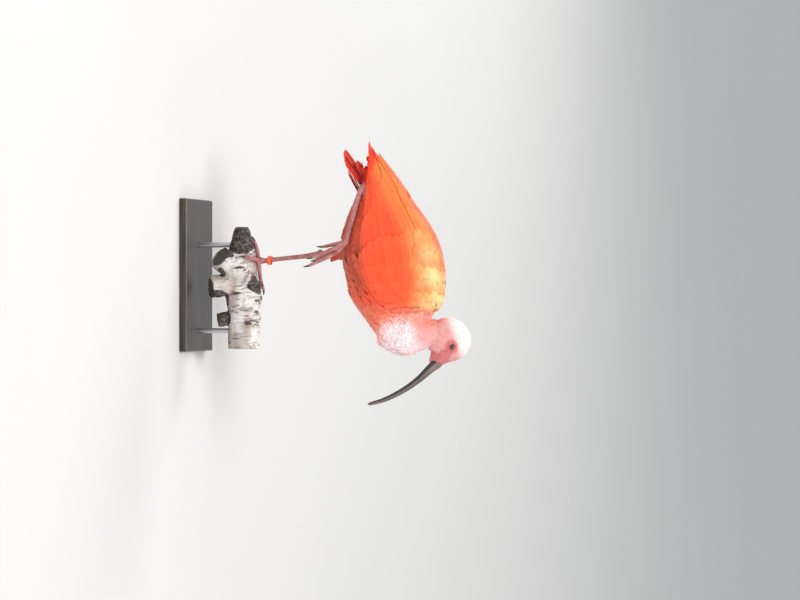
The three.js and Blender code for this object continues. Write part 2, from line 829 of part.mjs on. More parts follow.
const shankLeft = limb(SHANK_LEFT, 10).subtract(limb(THIGH_LEFT, 14, GAP));
const tarsusLeft = limb(TARSUS_LEFT, 10).subtract(limb(SHANK_LEFT, 10, GAP));
const shankRight = limb(SHANK_RIGHT, 10).subtract(limb(THIGH_RIGHT, 12, GAP));
node("thigh_left", limb(THIGH_LEFT, 14), materials.plumage);
node("shank_left", largest(shankLeft), materials.leg);
node("tarsus_left", largest(tarsusLeft.subtract(footLeft(GAP))), materials.leg);
node("foot_left", footLeft(0), materials.leg);
node("leg_band", band(), materials.band);
node("thigh_right", limb(THIGH_RIGHT, 12), materials.plumage);
node("shank_right", largest(shankRight.subtract(tarsusRight(GAP))), materials.leg);
node("tarsus_right", largest(tarsusRight(0).subtract(footRight(GAP))), materials.leg);
node("foot_right", footRight(0), materials.leg);
for (const [name, points] of standing) {
  const length = STANDING_TOES[name][4];
  const [x, y, height] = points.at(-1);
  const [axis] = branchAt(x);
  const inward = new THREE.Vector3(0, BRANCH_Y - y, axis - height).normalize();
  node("claw_left_" + name, claw(points, length, inward.multiplyScalar(0.3)), materials.claw);
}
for (const [name, points] of raised) {
  node("claw_right_" + name, claw(points, 8.5, new THREE.Vector3(-0.4, 0, -0.6)), materials.claw);
}

let perch = branch();
let plate = base();
for (const [name, place] of Object.entries(ROD_PLACES)) {
  perch = perch.subtract(rod(place, GAP));
  plate = plate.subtract(rod(place, GAP));
  node(name, rod(place), materials.stand);
}
node("perch", largest(perch), materials.bark);
node("stand_base", plate, materials.stand);

const root = new THREE.Group();
root.add(figure);
export default root;
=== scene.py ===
"""The looks of a life-size scarlet ibis that stands on one leg on the cut end of a birch branch.

Sizes are millimetres in the figure's own frame, whose origin lies on top of the branch under the
standing foot, with +X towards the bill, +Y to the bird's left and +Z up. Figure.metres turns them
into the row's frame.
"""

import logging
import math
from collections.abc import Sequence
from dataclasses import dataclass, field
from enum import Enum

import bmesh
import bpy
import numpy as np
from mathutils import Matrix, Vector


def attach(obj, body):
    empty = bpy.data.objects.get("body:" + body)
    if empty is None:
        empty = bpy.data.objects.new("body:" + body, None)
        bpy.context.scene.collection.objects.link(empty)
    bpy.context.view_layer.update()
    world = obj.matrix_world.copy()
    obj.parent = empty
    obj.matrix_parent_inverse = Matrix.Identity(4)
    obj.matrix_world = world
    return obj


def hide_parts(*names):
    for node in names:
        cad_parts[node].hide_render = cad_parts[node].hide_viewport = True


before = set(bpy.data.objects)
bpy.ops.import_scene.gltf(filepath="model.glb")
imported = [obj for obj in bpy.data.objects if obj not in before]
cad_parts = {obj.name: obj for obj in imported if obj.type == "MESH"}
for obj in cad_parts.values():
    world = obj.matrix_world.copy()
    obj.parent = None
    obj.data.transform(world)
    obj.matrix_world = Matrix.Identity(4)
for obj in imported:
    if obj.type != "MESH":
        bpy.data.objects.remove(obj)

LOG = logging.getLogger("ibis")
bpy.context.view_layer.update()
RIGHT = -1
LEFT = 1
SIDES = {RIGHT: "right", LEFT: "left"}
SOLE_HEIGHT = 100.0
MILLIMETRES = 1000.0
CIRCLE = 2 * np.pi
TINY = 1e-12
Row = Sequence[float]
Array = np.ndarray


class Figure:
    """Places figure millimetres in the row's metres."""

    @staticmethod
    def metres(points: Array) -> Array:
        """Points of the figure, in the row's frame.

        Args:
            points: Rows of x, y, height in millimetres.

        Returns:
            The same rows in metres above the floor.
        """
        return (np.asarray(points, float) + [0.0, 0.0, SOLE_HEIGHT]) / MILLIMETRES

    @staticmethod
    def millimetres(points: Array) -> Array:
        """Points of the row's frame, as figure millimetres."""
        return np.asarray(points, float) * MILLIMETRES - [0.0, 0.0, SOLE_HEIGHT]


class Profile:
    """A smooth curve through rows of a place and the values there, with no overshoot."""

    def __init__(self, rows: Sequence[Row]) -> None:
        """Keep the rows and work out their slopes.

        Args:
            rows: Rows of place, value, value, with places rising.
        """
        data = np.array(rows, float)
        self.place, self.value = data[:, 0], data[:, 1:]
        step = np.diff(self.place)[:, None]
        run = np.diff(self.value, axis=0) / step
        slope = np.vstack([run[:1], np.zeros_like(run[1:]), run[-1:]])
        product = run[:-1] * run[1:]
        total = np.where(np.abs(run[:-1] + run[1:]) < TINY, 1.0, run[:-1] + run[1:])
        slope[1:-1] = np.where(product > 0, 2 * product / total, 0.0)
        self.slope = slope

    def __call__(self, x: Array | float) -> Array:
        """Values at one place or many, one column for each kind of value.

        Args:
            x: One place or many.

        Returns:
            One column for each kind of value.
        """
        at = np.clip(np.atleast_1d(np.asarray(x, float)), self.place[0], self.place[-1])
        i = np.clip(np.searchsorted(self.place, at, side="right") - 1, 0, len(self.place) - 2)
        width = (self.place[i + 1] - self.place[i])[:, None]
        t = (at - self.place[i])[:, None] / width
        return (
            self.value[i] * (1 + 2 * t) * (1 - t) ** 2
            + self.value[i + 1] * t * t * (3 - 2 * t)
            + self.slope[i] * width * t * (1 - t) ** 2
            + self.slope[i + 1] * width * t * t * (t - 1)
        )


def unit(vectors: Array) -> Array:
    """Vectors scaled to length one."""
    return vectors / np.maximum(np.linalg.norm(vectors, axis=-1, keepdims=True), TINY)


def ramp(low: float, high: float, x: Array) -> Array:
    """A smooth step from 0 at low to 1 at high."""
    t = np.clip((np.asarray(x, float) - low) / (high - low), 0.0, 1.0)
    return t * t * (3 - 2 * t)


def blend(base: Array, value: Row | Array, mask: Array) -> Array:
    """Rows of values that go over to others where a mask rises from 0 to 1.

    Args:
        base: The rows.
        value: The other rows, or one row for all of them.
        mask: How far each row goes over.

    Returns:
        The blended rows.
    """
    return base + (np.asarray(value, float) - base) * np.clip(mask, 0, 1)[:, None]


def circle(count: int) -> Array:
    """Angles spaced evenly round a full turn.

    Args:
        count: How many of them.

    Returns:
        The angles in radians, from 0.
    """
    return np.linspace(0, CIRCLE, count, endpoint=False)


def spline(points: Array, count: int) -> Array:
    """A centripetal curve through points, sampled evenly along its length.

    Args:
        points: Rows of any number of values, the first three of them a place.
        count: How many samples to return.

    Returns:
        The samples, with as many values as the points have.
    """
    p = np.asarray(points, float)
    p = np.vstack([2 * p[0] - p[1], p, 2 * p[-1] - p[-2]])
    out = []
    for a, b, c, d in zip(p, p[1:], p[2:], p[3:]):
        t = np.linspace(0, 1, 24, endpoint=False)[:, None]
        out.append(
            0.5 * (2 * b + (c - a) * t + (2 * a - 5 * b + 4 * c - d) * t**2
                   + (3 * b - a - 3 * c + d) * t**3)
        )
    dense = np.vstack([*out, p[-2][None]])
    along = np.r_[0, np.cumsum(np.linalg.norm(np.diff(dense[:, :3], axis=0), axis=1))]
    even = np.linspace(0, along[-1], count)
    return np.column_stack([np.interp(even, along, dense[:, k]) for k in range(dense.shape[1])])


class Mesher:
    """Makes Blender objects out of arrays."""

    @staticmethod
    def piece(name: str, points: Array, faces: Sequence[Sequence[int]], smooth: bool = True
              ) -> bpy.types.Object:
        """A mesh object at the origin.

        Args:
            name: Name of the object.
            points: Figure millimetres.
            faces: Corner indices of each face.
            smooth: Whether the faces are shaded smooth.

        Returns:
            The object, linked to the scene.
        """
        mesh = bpy.data.meshes.new(name)
        mesh.from_pydata(Figure.metres(points).tolist(), [], [list(f) for f in faces])
        mesh.validate()
        mesh.polygons.foreach_set("use_smooth", [smooth] * len(mesh.polygons))
        item = bpy.data.objects.new(name, mesh)
        bpy.context.scene.collection.objects.link(item)
        return item

    @staticmethod
    def grid(rows: int, columns: int, closed: bool = False, start: int = 0) -> list[tuple]:
        """Faces between the points of a grid.

        Args:
            rows: Rows of points.
            columns: Points in each row.
            closed: Whether the last column meets the first.
            start: Index of the first point.

        Returns:
            Quads of point indices.
        """
        last = columns if closed else columns - 1
        return [
            (
                start + i * columns + j,
                start + i * columns + (j + 1) % columns,
                start + (i + 1) * columns + (j + 1) % columns,
                start + (i + 1) * columns + j,
            )
            for i in range(rows - 1)
            for j in range(last)
        ]

    @classmethod
    def loft(cls, name: str, rings: Array) -> bpy.types.Object:
        """A closed skin over rings of points.

        Args:
            name: Name of the object.
            rings: An array of rings, points and coordinates.

        Returns:
            The object, with its ends closed and its faces turned outwards.
        """
        count, around = rings.shape[:2]
        points = np.vstack([rings.reshape(-1, 3), rings[0].mean(0), rings[-1].mean(0)])
        faces = cls.grid(count, around, closed=True)
        base = (count - 1) * around
        for j in range(around):
            faces.append((j, count * around, (j + 1) % around))
            faces.append((base + j, base + (j + 1) % around, count * around + 1))
        item = cls.piece(name, points, faces)
        cls.outward(item)
        return item

    @classmethod
    def tube(cls, name: str, rings: Array) -> bpy.types.Object:
        """A skin over rings of points whose last ring meets the first.

        Args:
            name: Name of the object.
            rings: An array of rings, points and coordinates.

        Returns:
            The object, with its faces turned outwards.
        """
        count, around = rings.shape[:2]
        last = (count - 1) * around
        faces = cls.grid(count, around, closed=True)
        faces += [(last + j, last + (j + 1) % around, (j + 1) % around, j) for j in range(around)]
        item = cls.piece(name, rings.reshape(-1, 3), faces)
        cls.outward(item)
        return item

    @staticmethod
    def outward(item: bpy.types.Object) -> None:
        """Merge doubled points and turn the faces of a closed mesh outwards.

        Args:
            item: The closed mesh.
        """
        bm = bmesh.new()
        bm.from_mesh(item.data)
        bmesh.ops.remove_doubles(bm, verts=bm.verts, dist=1e-6)
        bmesh.ops.recalc_face_normals(bm, faces=bm.faces)
        if bm.calc_volume(signed=True) < 0:
            bmesh.ops.reverse_faces(bm, faces=bm.faces)
        bm.to_mesh(item.data)
        bm.free()

    @classmethod
    def limb(cls, name: str, stations: Sequence[Row], samples: int = 40, around: int = 24,
             flat: float = 1.0) -> bpy.types.Object:
        """A round limb along stations of x, y, height, radius.

        Args:
            name: Name of the object.
            stations: Points of the middle line with the radius there.
            samples: Rings along it.
            around: Points round each ring.
            flat: Thickness across the side over thickness up and down.

        Returns:
            The closed limb with rounded ends.
        """
        path = spline(stations, samples)
        along = unit(np.gradient(path[:, :3], axis=0))
        side = unit(np.cross([0.0, 1.0, 0.0], along))
        across = np.cross(along, side)
        angle = circle(around)
        rings = [
            p[:3] + p[3] * (np.cos(angle)[:, None] * s + flat * np.sin(angle)[:, None] * c)
            for p, s, c in zip(path, side, across)
        ]
        ends = []
        for k, sign in ((0, -1), (-1, 1)):
            middle, radius = path[k, :3], path[k, 3]
            caps = [
                middle + sign * along[k] * radius * math.sin(q)
                + (rings[k] - middle) * math.cos(q)
                for q in (0.45, 0.9, 1.3)
            ]
            ends.append(caps)
        return cls.loft(name, np.array([*ends[0][::-1], *rings, *ends[1]]))

    @staticmethod
    def join(items: Sequence[bpy.types.Object], name: str) -> bpy.types.Object:
        """Join objects into the first of them and name it.

        Args:
            items: The objects.
            name: Its name afterwards.

        Returns:
            The first of them.
        """
        bpy.ops.object.select_all(action="DESELECT")
        for item in items:
            item.select_set(True)
        bpy.context.view_layer.objects.active = items[0]
        if len(items) > 1:
            bpy.ops.object.join()
        items[0].name = name
        items[0].data.name = name
        return items[0]

    @classmethod
    def melt(cls, items: Sequence[bpy.types.Object], name: str, voxel: float, smooth: int = 4,
             factor: float = 0.5) -> bpy.types.Object:
        """Melt overlapping closed meshes into one seamless skin.

        Args:
            items: The closed meshes.
            name: Name of the result.
            voxel: Size of the remesh in millimetres.
            smooth: Rounds of smoothing afterwards.
            factor: Strength of each round.

        Returns:
            One object with plain mesh data and no modifiers.
        """
        item = cls.join(items, name)
        remesh = item.modifiers.new("Remesh", "REMESH")
        remesh.mode = "VOXEL"
        remesh.voxel_size = voxel / MILLIMETRES
        if smooth:
            relax = item.modifiers.new("Relax", "SMOOTH")
            relax.iterations, relax.factor = smooth, factor
        return cls.applied(item)

    @staticmethod
    def applied(item: bpy.types.Object) -> bpy.types.Object:
        """The object with its modifiers made part of its mesh.

        Args:
            item: The object.

        Returns:
            The object.
        """
        graph = bpy.context.evaluated_depsgraph_get()
        mesh = bpy.data.meshes.new_from_object(item.evaluated_get(graph), depsgraph=graph)
        old = item.data
        item.modifiers.clear()
        item.data = mesh
        mesh.name = old.name
        bpy.data.meshes.remove(old)
        mesh.polygons.foreach_set("use_smooth", [True] * len(mesh.polygons))
        return item

    @staticmethod
    def points(mesh: bpy.types.Mesh) -> Array:
        """The mesh's points as figure millimetres.

        Args:
            mesh: The mesh.

        Returns:
            One row for each point.
        """
        out = np.empty(len(mesh.vertices) * 3)
        mesh.vertices.foreach_get("co", out)
        return Figure.millimetres(out.reshape(-1, 3))

    @staticmethod
    def normals(mesh: bpy.types.Mesh) -> Array:
        """The normal at each of the mesh's points.

        Args:
            mesh: The mesh.

        Returns:
            One row for each point.
        """
        out = np.empty(len(mesh.vertices) * 3)
        mesh.vertex_normals.foreach_get("vector", out)
        return out.reshape(-1, 3)

    @staticmethod
    def move(mesh: bpy.types.Mesh, points: Array) -> None:
        """Set the mesh's points from figure millimetres."""
        mesh.vertices.foreach_set("co", Figure.metres(points).ravel())
        mesh.update()

    @staticmethod
    def attribute(mesh: bpy.types.Mesh, name: str, values: Array) -> None:
        """Store a number or a vector for each point of a mesh.

        Args:
            mesh: The mesh.
            name: Name of the attribute.
            values: One value or one row of three values for each point.
        """
        kind, key = ("FLOAT", "value") if values.ndim == 1 else ("FLOAT_VECTOR", "vector")
        layer = mesh.attributes.new(name, kind, "POINT")
        layer.data.foreach_set(key, np.ascontiguousarray(values, np.float32).ravel())


class Body:
    """The shape of the bird's trunk, neck and head, from which skin and feathers are worked out.

    ENVELOPE has x, top, height of the widest place, half width and bottom. INSET has x and how
    far the trunk lies inside it at back and flank. NECK has x, height, half depth and half width.
    HEAD has x and height of the crown, the same of the throat, and half width.
    """

    ENVELOPE = Profile([
        [-197, 181, 173, 6, 166],
        [-187, 187, 174, 10, 167],
        [-162, 206, 177, 19, 168],
        [-134, 227, 180, 29, 160],
        [-106, 245, 182, 38, 149],
        [-79, 265, 183, 46, 138],
        [-51, 280, 184.5, 53, 132],
        [-23, 288, 187, 57.5, 134],
        [4, 291, 190.5, 60, 139.5],
        [32, 289, 196, 59, 147],
        [49, 283.5, 200, 56, 157],
        [64, 273, 205, 51, 168],
        [85, 256, 213, 43, 183.5],
        [101, 250, 221, 34, 196.5],
        [112, 246, 228, 24, 209],
        [118, 243, 232, 16, 221],
        [122, 239, 235, 6, 232],
    ])
    INSET = Profile([
        [-140, 32, 12],
        [-106, 24, 11],
        [-79, 12, 11],
        [-51, 8, 10],
        [20, 6, 9],
        [60, 4, 5],
        [85, 2.5, 2.5],
        [122, 2.5, 2.5],
    ])
    NECK = [
        [80, 196, 29, 29],
        [87, 218, 32.5, 32],
        [91, 238, 29, 27.5],
        [89, 256, 24, 21.5],
        [87.5, 272, 22, 18.5],
        [88, 292, 20.5, 16],
    ]
    HEAD = [
        [64.5, 298, 64.5, 291, 3],
        [67.5, 310, 67, 285, 11.5],
        [76.5, 322, 76, 275, 16.5],
        [90, 330, 88, 270, 18.5],
        [102, 331, 101, 270, 18],
        [115, 325.5, 111, 273, 16],
        [126, 312.5, 118, 272, 13.5],
        [131, 298, 124.5, 271.5, 10.5],
        [134.2, 289.5, 128.5, 272, 8.2],
    ]

    @classmethod
    def on_envelope(cls, x: Array, degrees: Array, side: int, out: Array | float = 0.0) -> Array:
        """Points of the envelope round trunk and wings.

        Args:
            x: Places along the body.
            degrees: Degrees round from the back's middle line.
            side: RIGHT or LEFT.
            out: How far out along the normal.

        Returns:
            Rows of x, y, height.
        """
        x, degrees = np.broadcast_arrays(np.asarray(x, float), np.asarray(degrees, float))
        shape = x.shape

        def at(place: Array, angle: Array) -> Array:
            """Points at given angles.

            Args:
                place: Places along the body.
                angle: Radians round from the back's middle line.

            Returns:
                Points of the envelope itself.
            """
            top, level, half, bottom = cls.ENVELOPE(place).T
            reach = np.where(np.cos(angle) > 0, top - level, level - bottom)
            return np.column_stack(
                [place, side * half * np.sin(angle), level + reach * np.cos(angle)]
            )

        x, angle = x.ravel(), np.radians(degrees.ravel())
        along = at(x + 1, angle) - at(x - 1, angle)
        around = at(x, angle + 0.02) - at(x, angle - 0.02)
        normal = unit(np.cross(along, around) * side)
        lift = np.broadcast_to(np.asarray(out, float), shape).ravel()[:, None]
        return (at(x, angle) + normal * lift).reshape(*shape, 3)

    @staticmethod
    def oval(centre: Row, up: Row, side: Row, above: float, below: float, half: float,
             around: int) -> Array:
        """One oval ring with its own reach up and down.

        Args:
            centre: Its middle.
            up: The unit vector up.
            side: The unit vector aside.
            above: Reach up from the middle.
            below: Reach down from the middle.
            half: Reach to each side.
            around: Points round it.

        Returns:
            Rows of x, y, height.
        """
        angle = circle(around)
        rise = np.sin(angle) * np.where(np.sin(angle) > 0, above, below)
        return (
            np.asarray(centre, float)
            + np.outer(rise, np.asarray(up, float))
            + np.outer(np.cos(angle) * half, np.asarray(side, float))
        )


@dataclass(frozen=True)
class Plumage:
    """The colours of skin and feathers by place, painted highlights and shade among them, and the
    lie and size of the feathers.
    """

    # pale crown: partly its own pale pink, partly painted highlight on top of the head
    crown: Row = (1.00, 0.88, 0.86)
    cheek: Row = (0.92, 0.43, 0.41)
    nape: Row = (0.94, 0.31, 0.24)
    # front of the neck: its own pale pink, paled further by a painted highlight
    chest_pink_and_highlight: Row = (1.00, 0.78, 0.79)
    bare: Row = (0.70, 0.17, 0.17)
    lid: Row = (0.42, 0.085, 0.09)
    # painted highlight: pale yellow-orange where light from above falls on the shoulders
    shoulder_highlight: Row = (1.00, 0.63, 0.27)
    # orange of the upper back: partly the bird's own colour, partly painted light from above
    back: Row = (0.98, 0.25, 0.055)
    wing: Row = (0.93, 0.085, 0.026)
    # painted shade: dark red along the back's middle, where the feathers of the two sides part
    ridge_shade: Row = (0.62, 0.05, 0.015)
    breast: Row = (0.86, 0.17, 0.095)
    # painted shade: darker red on the underside, which lies out of the light
    belly: Row = (0.58, 0.085, 0.035)
    tail: Row = (0.78, 0.045, 0.014)

    def tint(self, points: Array) -> Array:
        """The colour at each place, with painted highlights on shoulders, upper back, crown and
        front of the neck, and painted shade along the back's middle and under the belly.

        Args:
            points: Figure millimetres.

        Returns:
            Linear red, green and blue, one row for each point.
        """
        x, y, z = np.asarray(points, float).T
        top = Body.ENVELOPE(x)[:, 0]
        depth = top - z
        out = np.tile(np.asarray(self.wing, float), (len(x), 1))
        # the back turns lighter orange towards its top: partly its own colour, partly painted light
        # from above
        out = blend(out, self.back, 0.85 * ramp(62, 18, depth + 0.12 * np.abs(x + 20)))
        # painted highlight: pale yellow-orange patches on the shoulders and the front of the back,
        # where light from above falls
        patch = 0.5 + 0.5 * np.sin(x / 9.5 + 2 * np.sin(z / 13)) * np.sin(z / 8.5 + x / 21)
        front = ramp(-95, 10, x) * ramp(46, 6, depth) * (0.30 + 0.85 * patch)
        out = blend(out, self.shoulder_highlight, 0.95 * front * ramp(74, 50, x))
        # painted shade: dark red along the back's middle, where the feathers of the two sides part
        out = blend(out, self.ridge_shade, 0.55 * ramp(4, 1, depth) * ramp(20, -20, x))
        # painted shade: the underside below the body's widest level turns darker red
        under = ramp(20, -6, z - Body.ENVELOPE(x)[:, 1] + 18)
        out = blend(out, self.breast, ramp(38, 62, x) * ramp(275, 262, z))
        out = blend(out, self.belly, under * ramp(70, 10, x))
        out = blend(out, self.tail, ramp(-112, -128, x) * ramp(178, 170, z + 0.35 * (x + 130)))
        # front of the lower neck: its own pale pink with a painted highlight
        throat = ramp(190, 224, z + 0.45 * (x - 90)) * ramp(62, 86, x + 0.15 * (z - 220))
        out = blend(out, self.chest_pink_and_highlight, throat)
        neck = ramp(244, 262, z) * ramp(56, 66, x)
        out = blend(out, self.cheek, neck)
        out = blend(out, self.nape, 0.75 * neck * ramp(88, 72, x) * ramp(296, 280, z))
        # front of the upper neck: its own pale pink with a painted highlight
        out = blend(out, self.chest_pink_and_highlight, 0.7 * neck * ramp(94, 108, x) * ramp(278, 262, z))
        # top of the head paler: partly its own pale pink, partly painted highlight from above
        crown = ramp(299, 314, z + 0.30 * (100 - x) - 0.35 * np.abs(y)) * ramp(56, 66, x)
        out = blend(out, self.crown, crown)
        return blend(out, self.bare, 0.9 * self.bare_mask(points))

    def bare_mask(self, points: Array) -> Array:
        """Where the face is naked skin: round the eye, the lores and the chin.

        Args:
            points: Figure millimetres.

        Returns:
            Shares from 0 to 1.
        """
        x, y, z = np.asarray(points, float).T
        side = ramp(5, 8, np.abs(y))
        eye = ramp(10.5, 8, np.hypot((x - 107.5) / 1.15, z - 304.5))
        line = 305 + (x - 107) * -0.62
        lores = ramp(11.5, 8.5, np.abs(z - line + 4)) * ramp(108, 113, x)
        chin = ramp(112, 118, x + 0.3 * (280 - z)) * ramp(288, 284, z) * ramp(263, 268, z)
        front = ramp(126, 130, x - 0.4 * (z - 300)) * ramp(263, 268, z)
        lobe = ramp(114, 119, x) * ramp(281, 277, z) * ramp(262, 266, z)
        return np.maximum.reduce([eye * side, lores * side, chin, front, lobe])

    def lie(self, points: Array, normals: Array) -> Array:
        """The way the feathers lie, along the skin.

        Args:
            points: Figure millimetres.
            normals: The normal at each point.

        Returns:
            Unit vectors.
        """
        x, y, z = np.asarray(points, float).T
        one = np.ones_like(x)
        flow = np.column_stack([-one, 0 * one, -0.22 * one])

        flow = blend(flow, np.column_stack([-0.75 * one, 0.35 * np.sign(y), -0.75 * one]),
                     ramp(40, 80, x) * ramp(262, 240, z))
        flow = blend(flow, (-0.15, 0, -1), ramp(232, 256, z) * ramp(52, 70, x))
        radial = np.column_stack([-(z - 298), 0 * one, x - 98]) / 25
        flow = blend(flow, radial - [0.45, 0, 0.1], ramp(290, 306, z))
        thigh = ramp(152, 140, z) * ramp(-78, -62, x) * ramp(4, -12, x) * ramp(-2, 6, y)
        flow = blend(flow, (0.35, -0.15, -1), thigh)
        flow = blend(flow, (-0.8, 0, -0.6), ramp(-136, -150, x))
        flow = flow - normals * np.sum(flow * normals, axis=1, keepdims=True)
        return unit(flow)

    def size(self, points: Array) -> Array:
        """Length, width and lift of the feathers at each place, the lift in degrees.

        Args:
            points: Figure millimetres.

        Returns:
            Rows of length, width and lift.
        """
        x, _, z = np.asarray(points, float).T
        out = np.tile([16.0, 8.5, 6.5], (len(x), 1))
        out = blend(out, [12.5, 6.0, 6.5], ramp(40, 74, x))
        out = blend(out, [11.0, 5.0, 7.0], ramp(156, 146, z))
        out = blend(out, [8.0, 2.9, 9.0], ramp(232, 258, z) * ramp(58, 72, x))
        fold = ramp(266, 250, z) * ramp(210, 226, z) * ramp(66, 76, x)
        out = blend(out, [8.5, 3.6, 14.5], fold)
        out = blend(out, [4.4, 1.8, 12.5], ramp(284, 300, z))
        near = np.hypot(x - 107, z - 305)
        return blend(out, [2.6, 1.1, 13.0], ramp(282, 296, z) * ramp(30, 14, near))


@dataclass
class Skin:
    """One seamless skin over trunk, neck, head, folded wings, thighs and tail root."""

    LIMBS = {
        "thigh_left": ((-46, 16, 176, 17), (-42, 16, 158, 20), (-37, 14, 142, 17),
                       (-32, 11, 130, 11.5), (-28, 9, 124, 5.5)),
        "thigh_right": ((-14, -31, 168, 13), (-44, -30, 168, 11.5), (-78, -25.5, 172, 8.5),
                        (-104, -21.5, 174, 5.6), (-114, -20.8, 174.4, 4)),
        "tail_root": ((-128, 0, 176, 11), (-144, 0, 171, 9), (-156, 0, 164, 5)),
        "gular_lobe": ((108, 0, 277, 6.5), (118, 0, 274.5, 5.4), (126, 0, 272.2, 3.8),
                       (131, 0, 270.6, 2.2)),
        "brow_right": ((101, -10.5, 311.8, 2.6), (108, -11.6, 312.2, 2.6), (115, -9.6, 309, 2.2)),
        "brow_left": ((101, 10.5, 311.8, 2.6), (108, 11.6, 312.2, 2.6), (115, 9.6, 309, 2.2)),
    }

    voxel: float = 1.35
    coat: float = 2.2
    around: int = 56
    eye: Row = (107.0, 11.6, 305.5)
    neck_inset: float = 1.2
    crown_inset: float = 1.0
    cheek_inset: float = 0.7
    skull_least: float = 1.5
    core_outer: float = 4.6
    core_inner: float = 9.5
    core_thinning: float = 3.0
    lid_radius: float = 5.0
    lid_thickness: float = 1.15
    lid_stand: float = 3.2
    lid_length: float = 1.08
    lid_height: float = 0.86
    lid_wrap: float = 0.10
    nostril_hollow: float = 1.2
    gape_depth: float = 0.9
    pouch: tuple = (
        (110, 0, 284, 9.5),
        (118, 0, 277.5, 7.6),
        (125.5, 0, 271.5, 4.2),
        (128.5, 0, 268.6, 2.2),
    )
    plumage: Plumage = field(default_factory=Plumage)

    def trunk(self) -> bpy.types.Object:
        """The trunk inside its coat.

        Returns:
            The object.
        """
        rings = []
        for x in np.r_[np.linspace(-139, 100, 40), np.linspace(104, 119.5, 7)]:
            top, level, half, bottom = Body.ENVELOPE(x)[0]
            back, flank = Body.INSET(x)[0]
            thin = self.coat * 0.9
            rings.append(Body.oval([x, 0, level], [0, 0, 1], [0, 1, 0], top - back - level,
                                   level - bottom - thin, max(half - flank, 2.5), self.around))
        return Mesher.loft("trunk", np.array(rings))

    def neck(self) -> bpy.types.Object:
        """The drawn-in neck.

        Returns:
            The object.
        """
        rows = spline(Body.NECK, 30)
        return Mesher.loft("neck_core", np.array([
            Body.oval([x, 0, z], [1, 0, 0], [0, 1, 0], fore, fore, half, self.around)
            for x, z, fore, half in rows - [0, 0, self.neck_inset, self.neck_inset]
        ]))

    def skull(self) -> bpy.types.Object:
        """The head from nape to bill.

        Returns:
            The object.
        """
        rings = []
        for row in spline(Body.HEAD, 36):
            crown, throat = np.array([row[0], 0, row[1]]), np.array([row[2], 0, row[3]])
            up = crown - throat
            reach = max(np.linalg.norm(up) / 2 - self.crown_inset, self.skull_least)
            rings.append(Body.oval((crown + throat) / 2, unit(up), [0, 1, 0], reach, reach,
                                   max(row[4] - self.cheek_inset, self.skull_least), 40))
        return Mesher.loft("skull", np.array(rings))

    def chin_pouch(self) -> bpy.types.Object:
        """The small naked pouch under the root of the bill."""
        return Mesher.limb("chin_pouch", self.pouch, 16, 24)

    def wing_core(self, side: int) -> bpy.types.Object:
        """The folded wing's own body under its feathers.

        Args:
            side: RIGHT or LEFT.

        Returns:
            The object.
        """
        edges = Profile(Wing.EDGES)
        x = np.linspace(-172, 63.5, 44)
        upper, lower = edges(x).T
        share = np.linspace(0, 1, 26)
        rings = []
        for place, low, high in zip(x, upper, lower):
            degrees = low + (high - low) * share
            inner = self.core_inner - self.core_thinning * float(ramp(-120, -172, place))
            outer = Body.on_envelope(place, degrees, side, -self.core_outer)
            under = Body.on_envelope(place, degrees[::-1], side, -inner)
            rings.append(np.vstack([outer, under]))
        return Mesher.loft("wing_core", np.array(rings))

    def lid(self, side: int) -> bpy.types.Object:
        """The rim of lids round an eye.

        Args:
            side: RIGHT or LEFT.

        Returns:
            The object.
        """
        section = circle(12)
        x, y, z = self.eye
        rings = []
        for a in circle(40):
            r = self.lid_radius + self.lid_thickness * np.cos(section)
            rise = y + self.lid_stand + self.lid_thickness * np.sin(section)
            rise = rise - self.lid_wrap * abs(r * math.cos(a))
            rings.append(np.column_stack([x + r * math.cos(a) * self.lid_length, side * rise,
                                          z + r * math.sin(a) * self.lid_height]))
        return Mesher.tube("lid", np.array(rings))

    def build(self) -> bpy.types.Object:
        """Melt the parts, hollow the lores and press in the gape, and store what the coat needs.

        Returns:
            The object.
        """
        limbs = [Mesher.limb(name, stations) for name, stations in self.LIMBS.items()]
        parts = [self.trunk(), self.neck(), self.skull(), self.chin_pouch(), *limbs]
        parts += [self.wing_core(side) for side in SIDES]
        parts += [self.lid(side) for side in SIDES]
        item = Mesher.melt(parts, "skin", self.voxel, smooth=5)
        mesh = item.data
        points = Mesher.points(mesh)
        points = self.relax_folds(points)
        Mesher.move(mesh, points)
        normals = Mesher.normals(mesh)
        Mesher.attribute(mesh, "tint", self.plumage.tint(points))
        Mesher.attribute(mesh, "lie", self.plumage.lie(points, normals))
        size = self.plumage.size(points) / [MILLIMETRES, MILLIMETRES, math.degrees(1)]
        Mesher.attribute(mesh, "size", size)
        Mesher.attribute(mesh, "bare", self.plumage.bare_mask(points))
        Mesher.attribute(mesh, "unwrap", self.unwrap(points))
        for zone in Zone:
            Mesher.attribute(mesh, zone.value, zone.mask(points, self.plumage))
        LOG.info("skin: %d points", len(points))
        return item

    def relax_folds(self, points: Array) -> Array:
        """Hollow the lores and press in the gape a little.

        Args:
            points: Figure millimetres.

        Returns:
            The moved points.
        """
        x, y, z = points.T
        bare = self.plumage.bare_mask(points)
        hollow = ramp(9, 2, np.hypot(x - 119, z - 297)) * ramp(3, 6, np.abs(y))
        out = points.copy()
        out[:, 1] -= np.sign(y) * self.nostril_hollow * hollow
        gape = ramp(2.2, 0.4, np.abs((z - 284.5) + (x - 118) * 0.62)) * ramp(104, 110, x)
        out[:, 1] -= np.sign(y) * self.gape_depth * gape * bare * ramp(2, 5, np.abs(y))
        return out

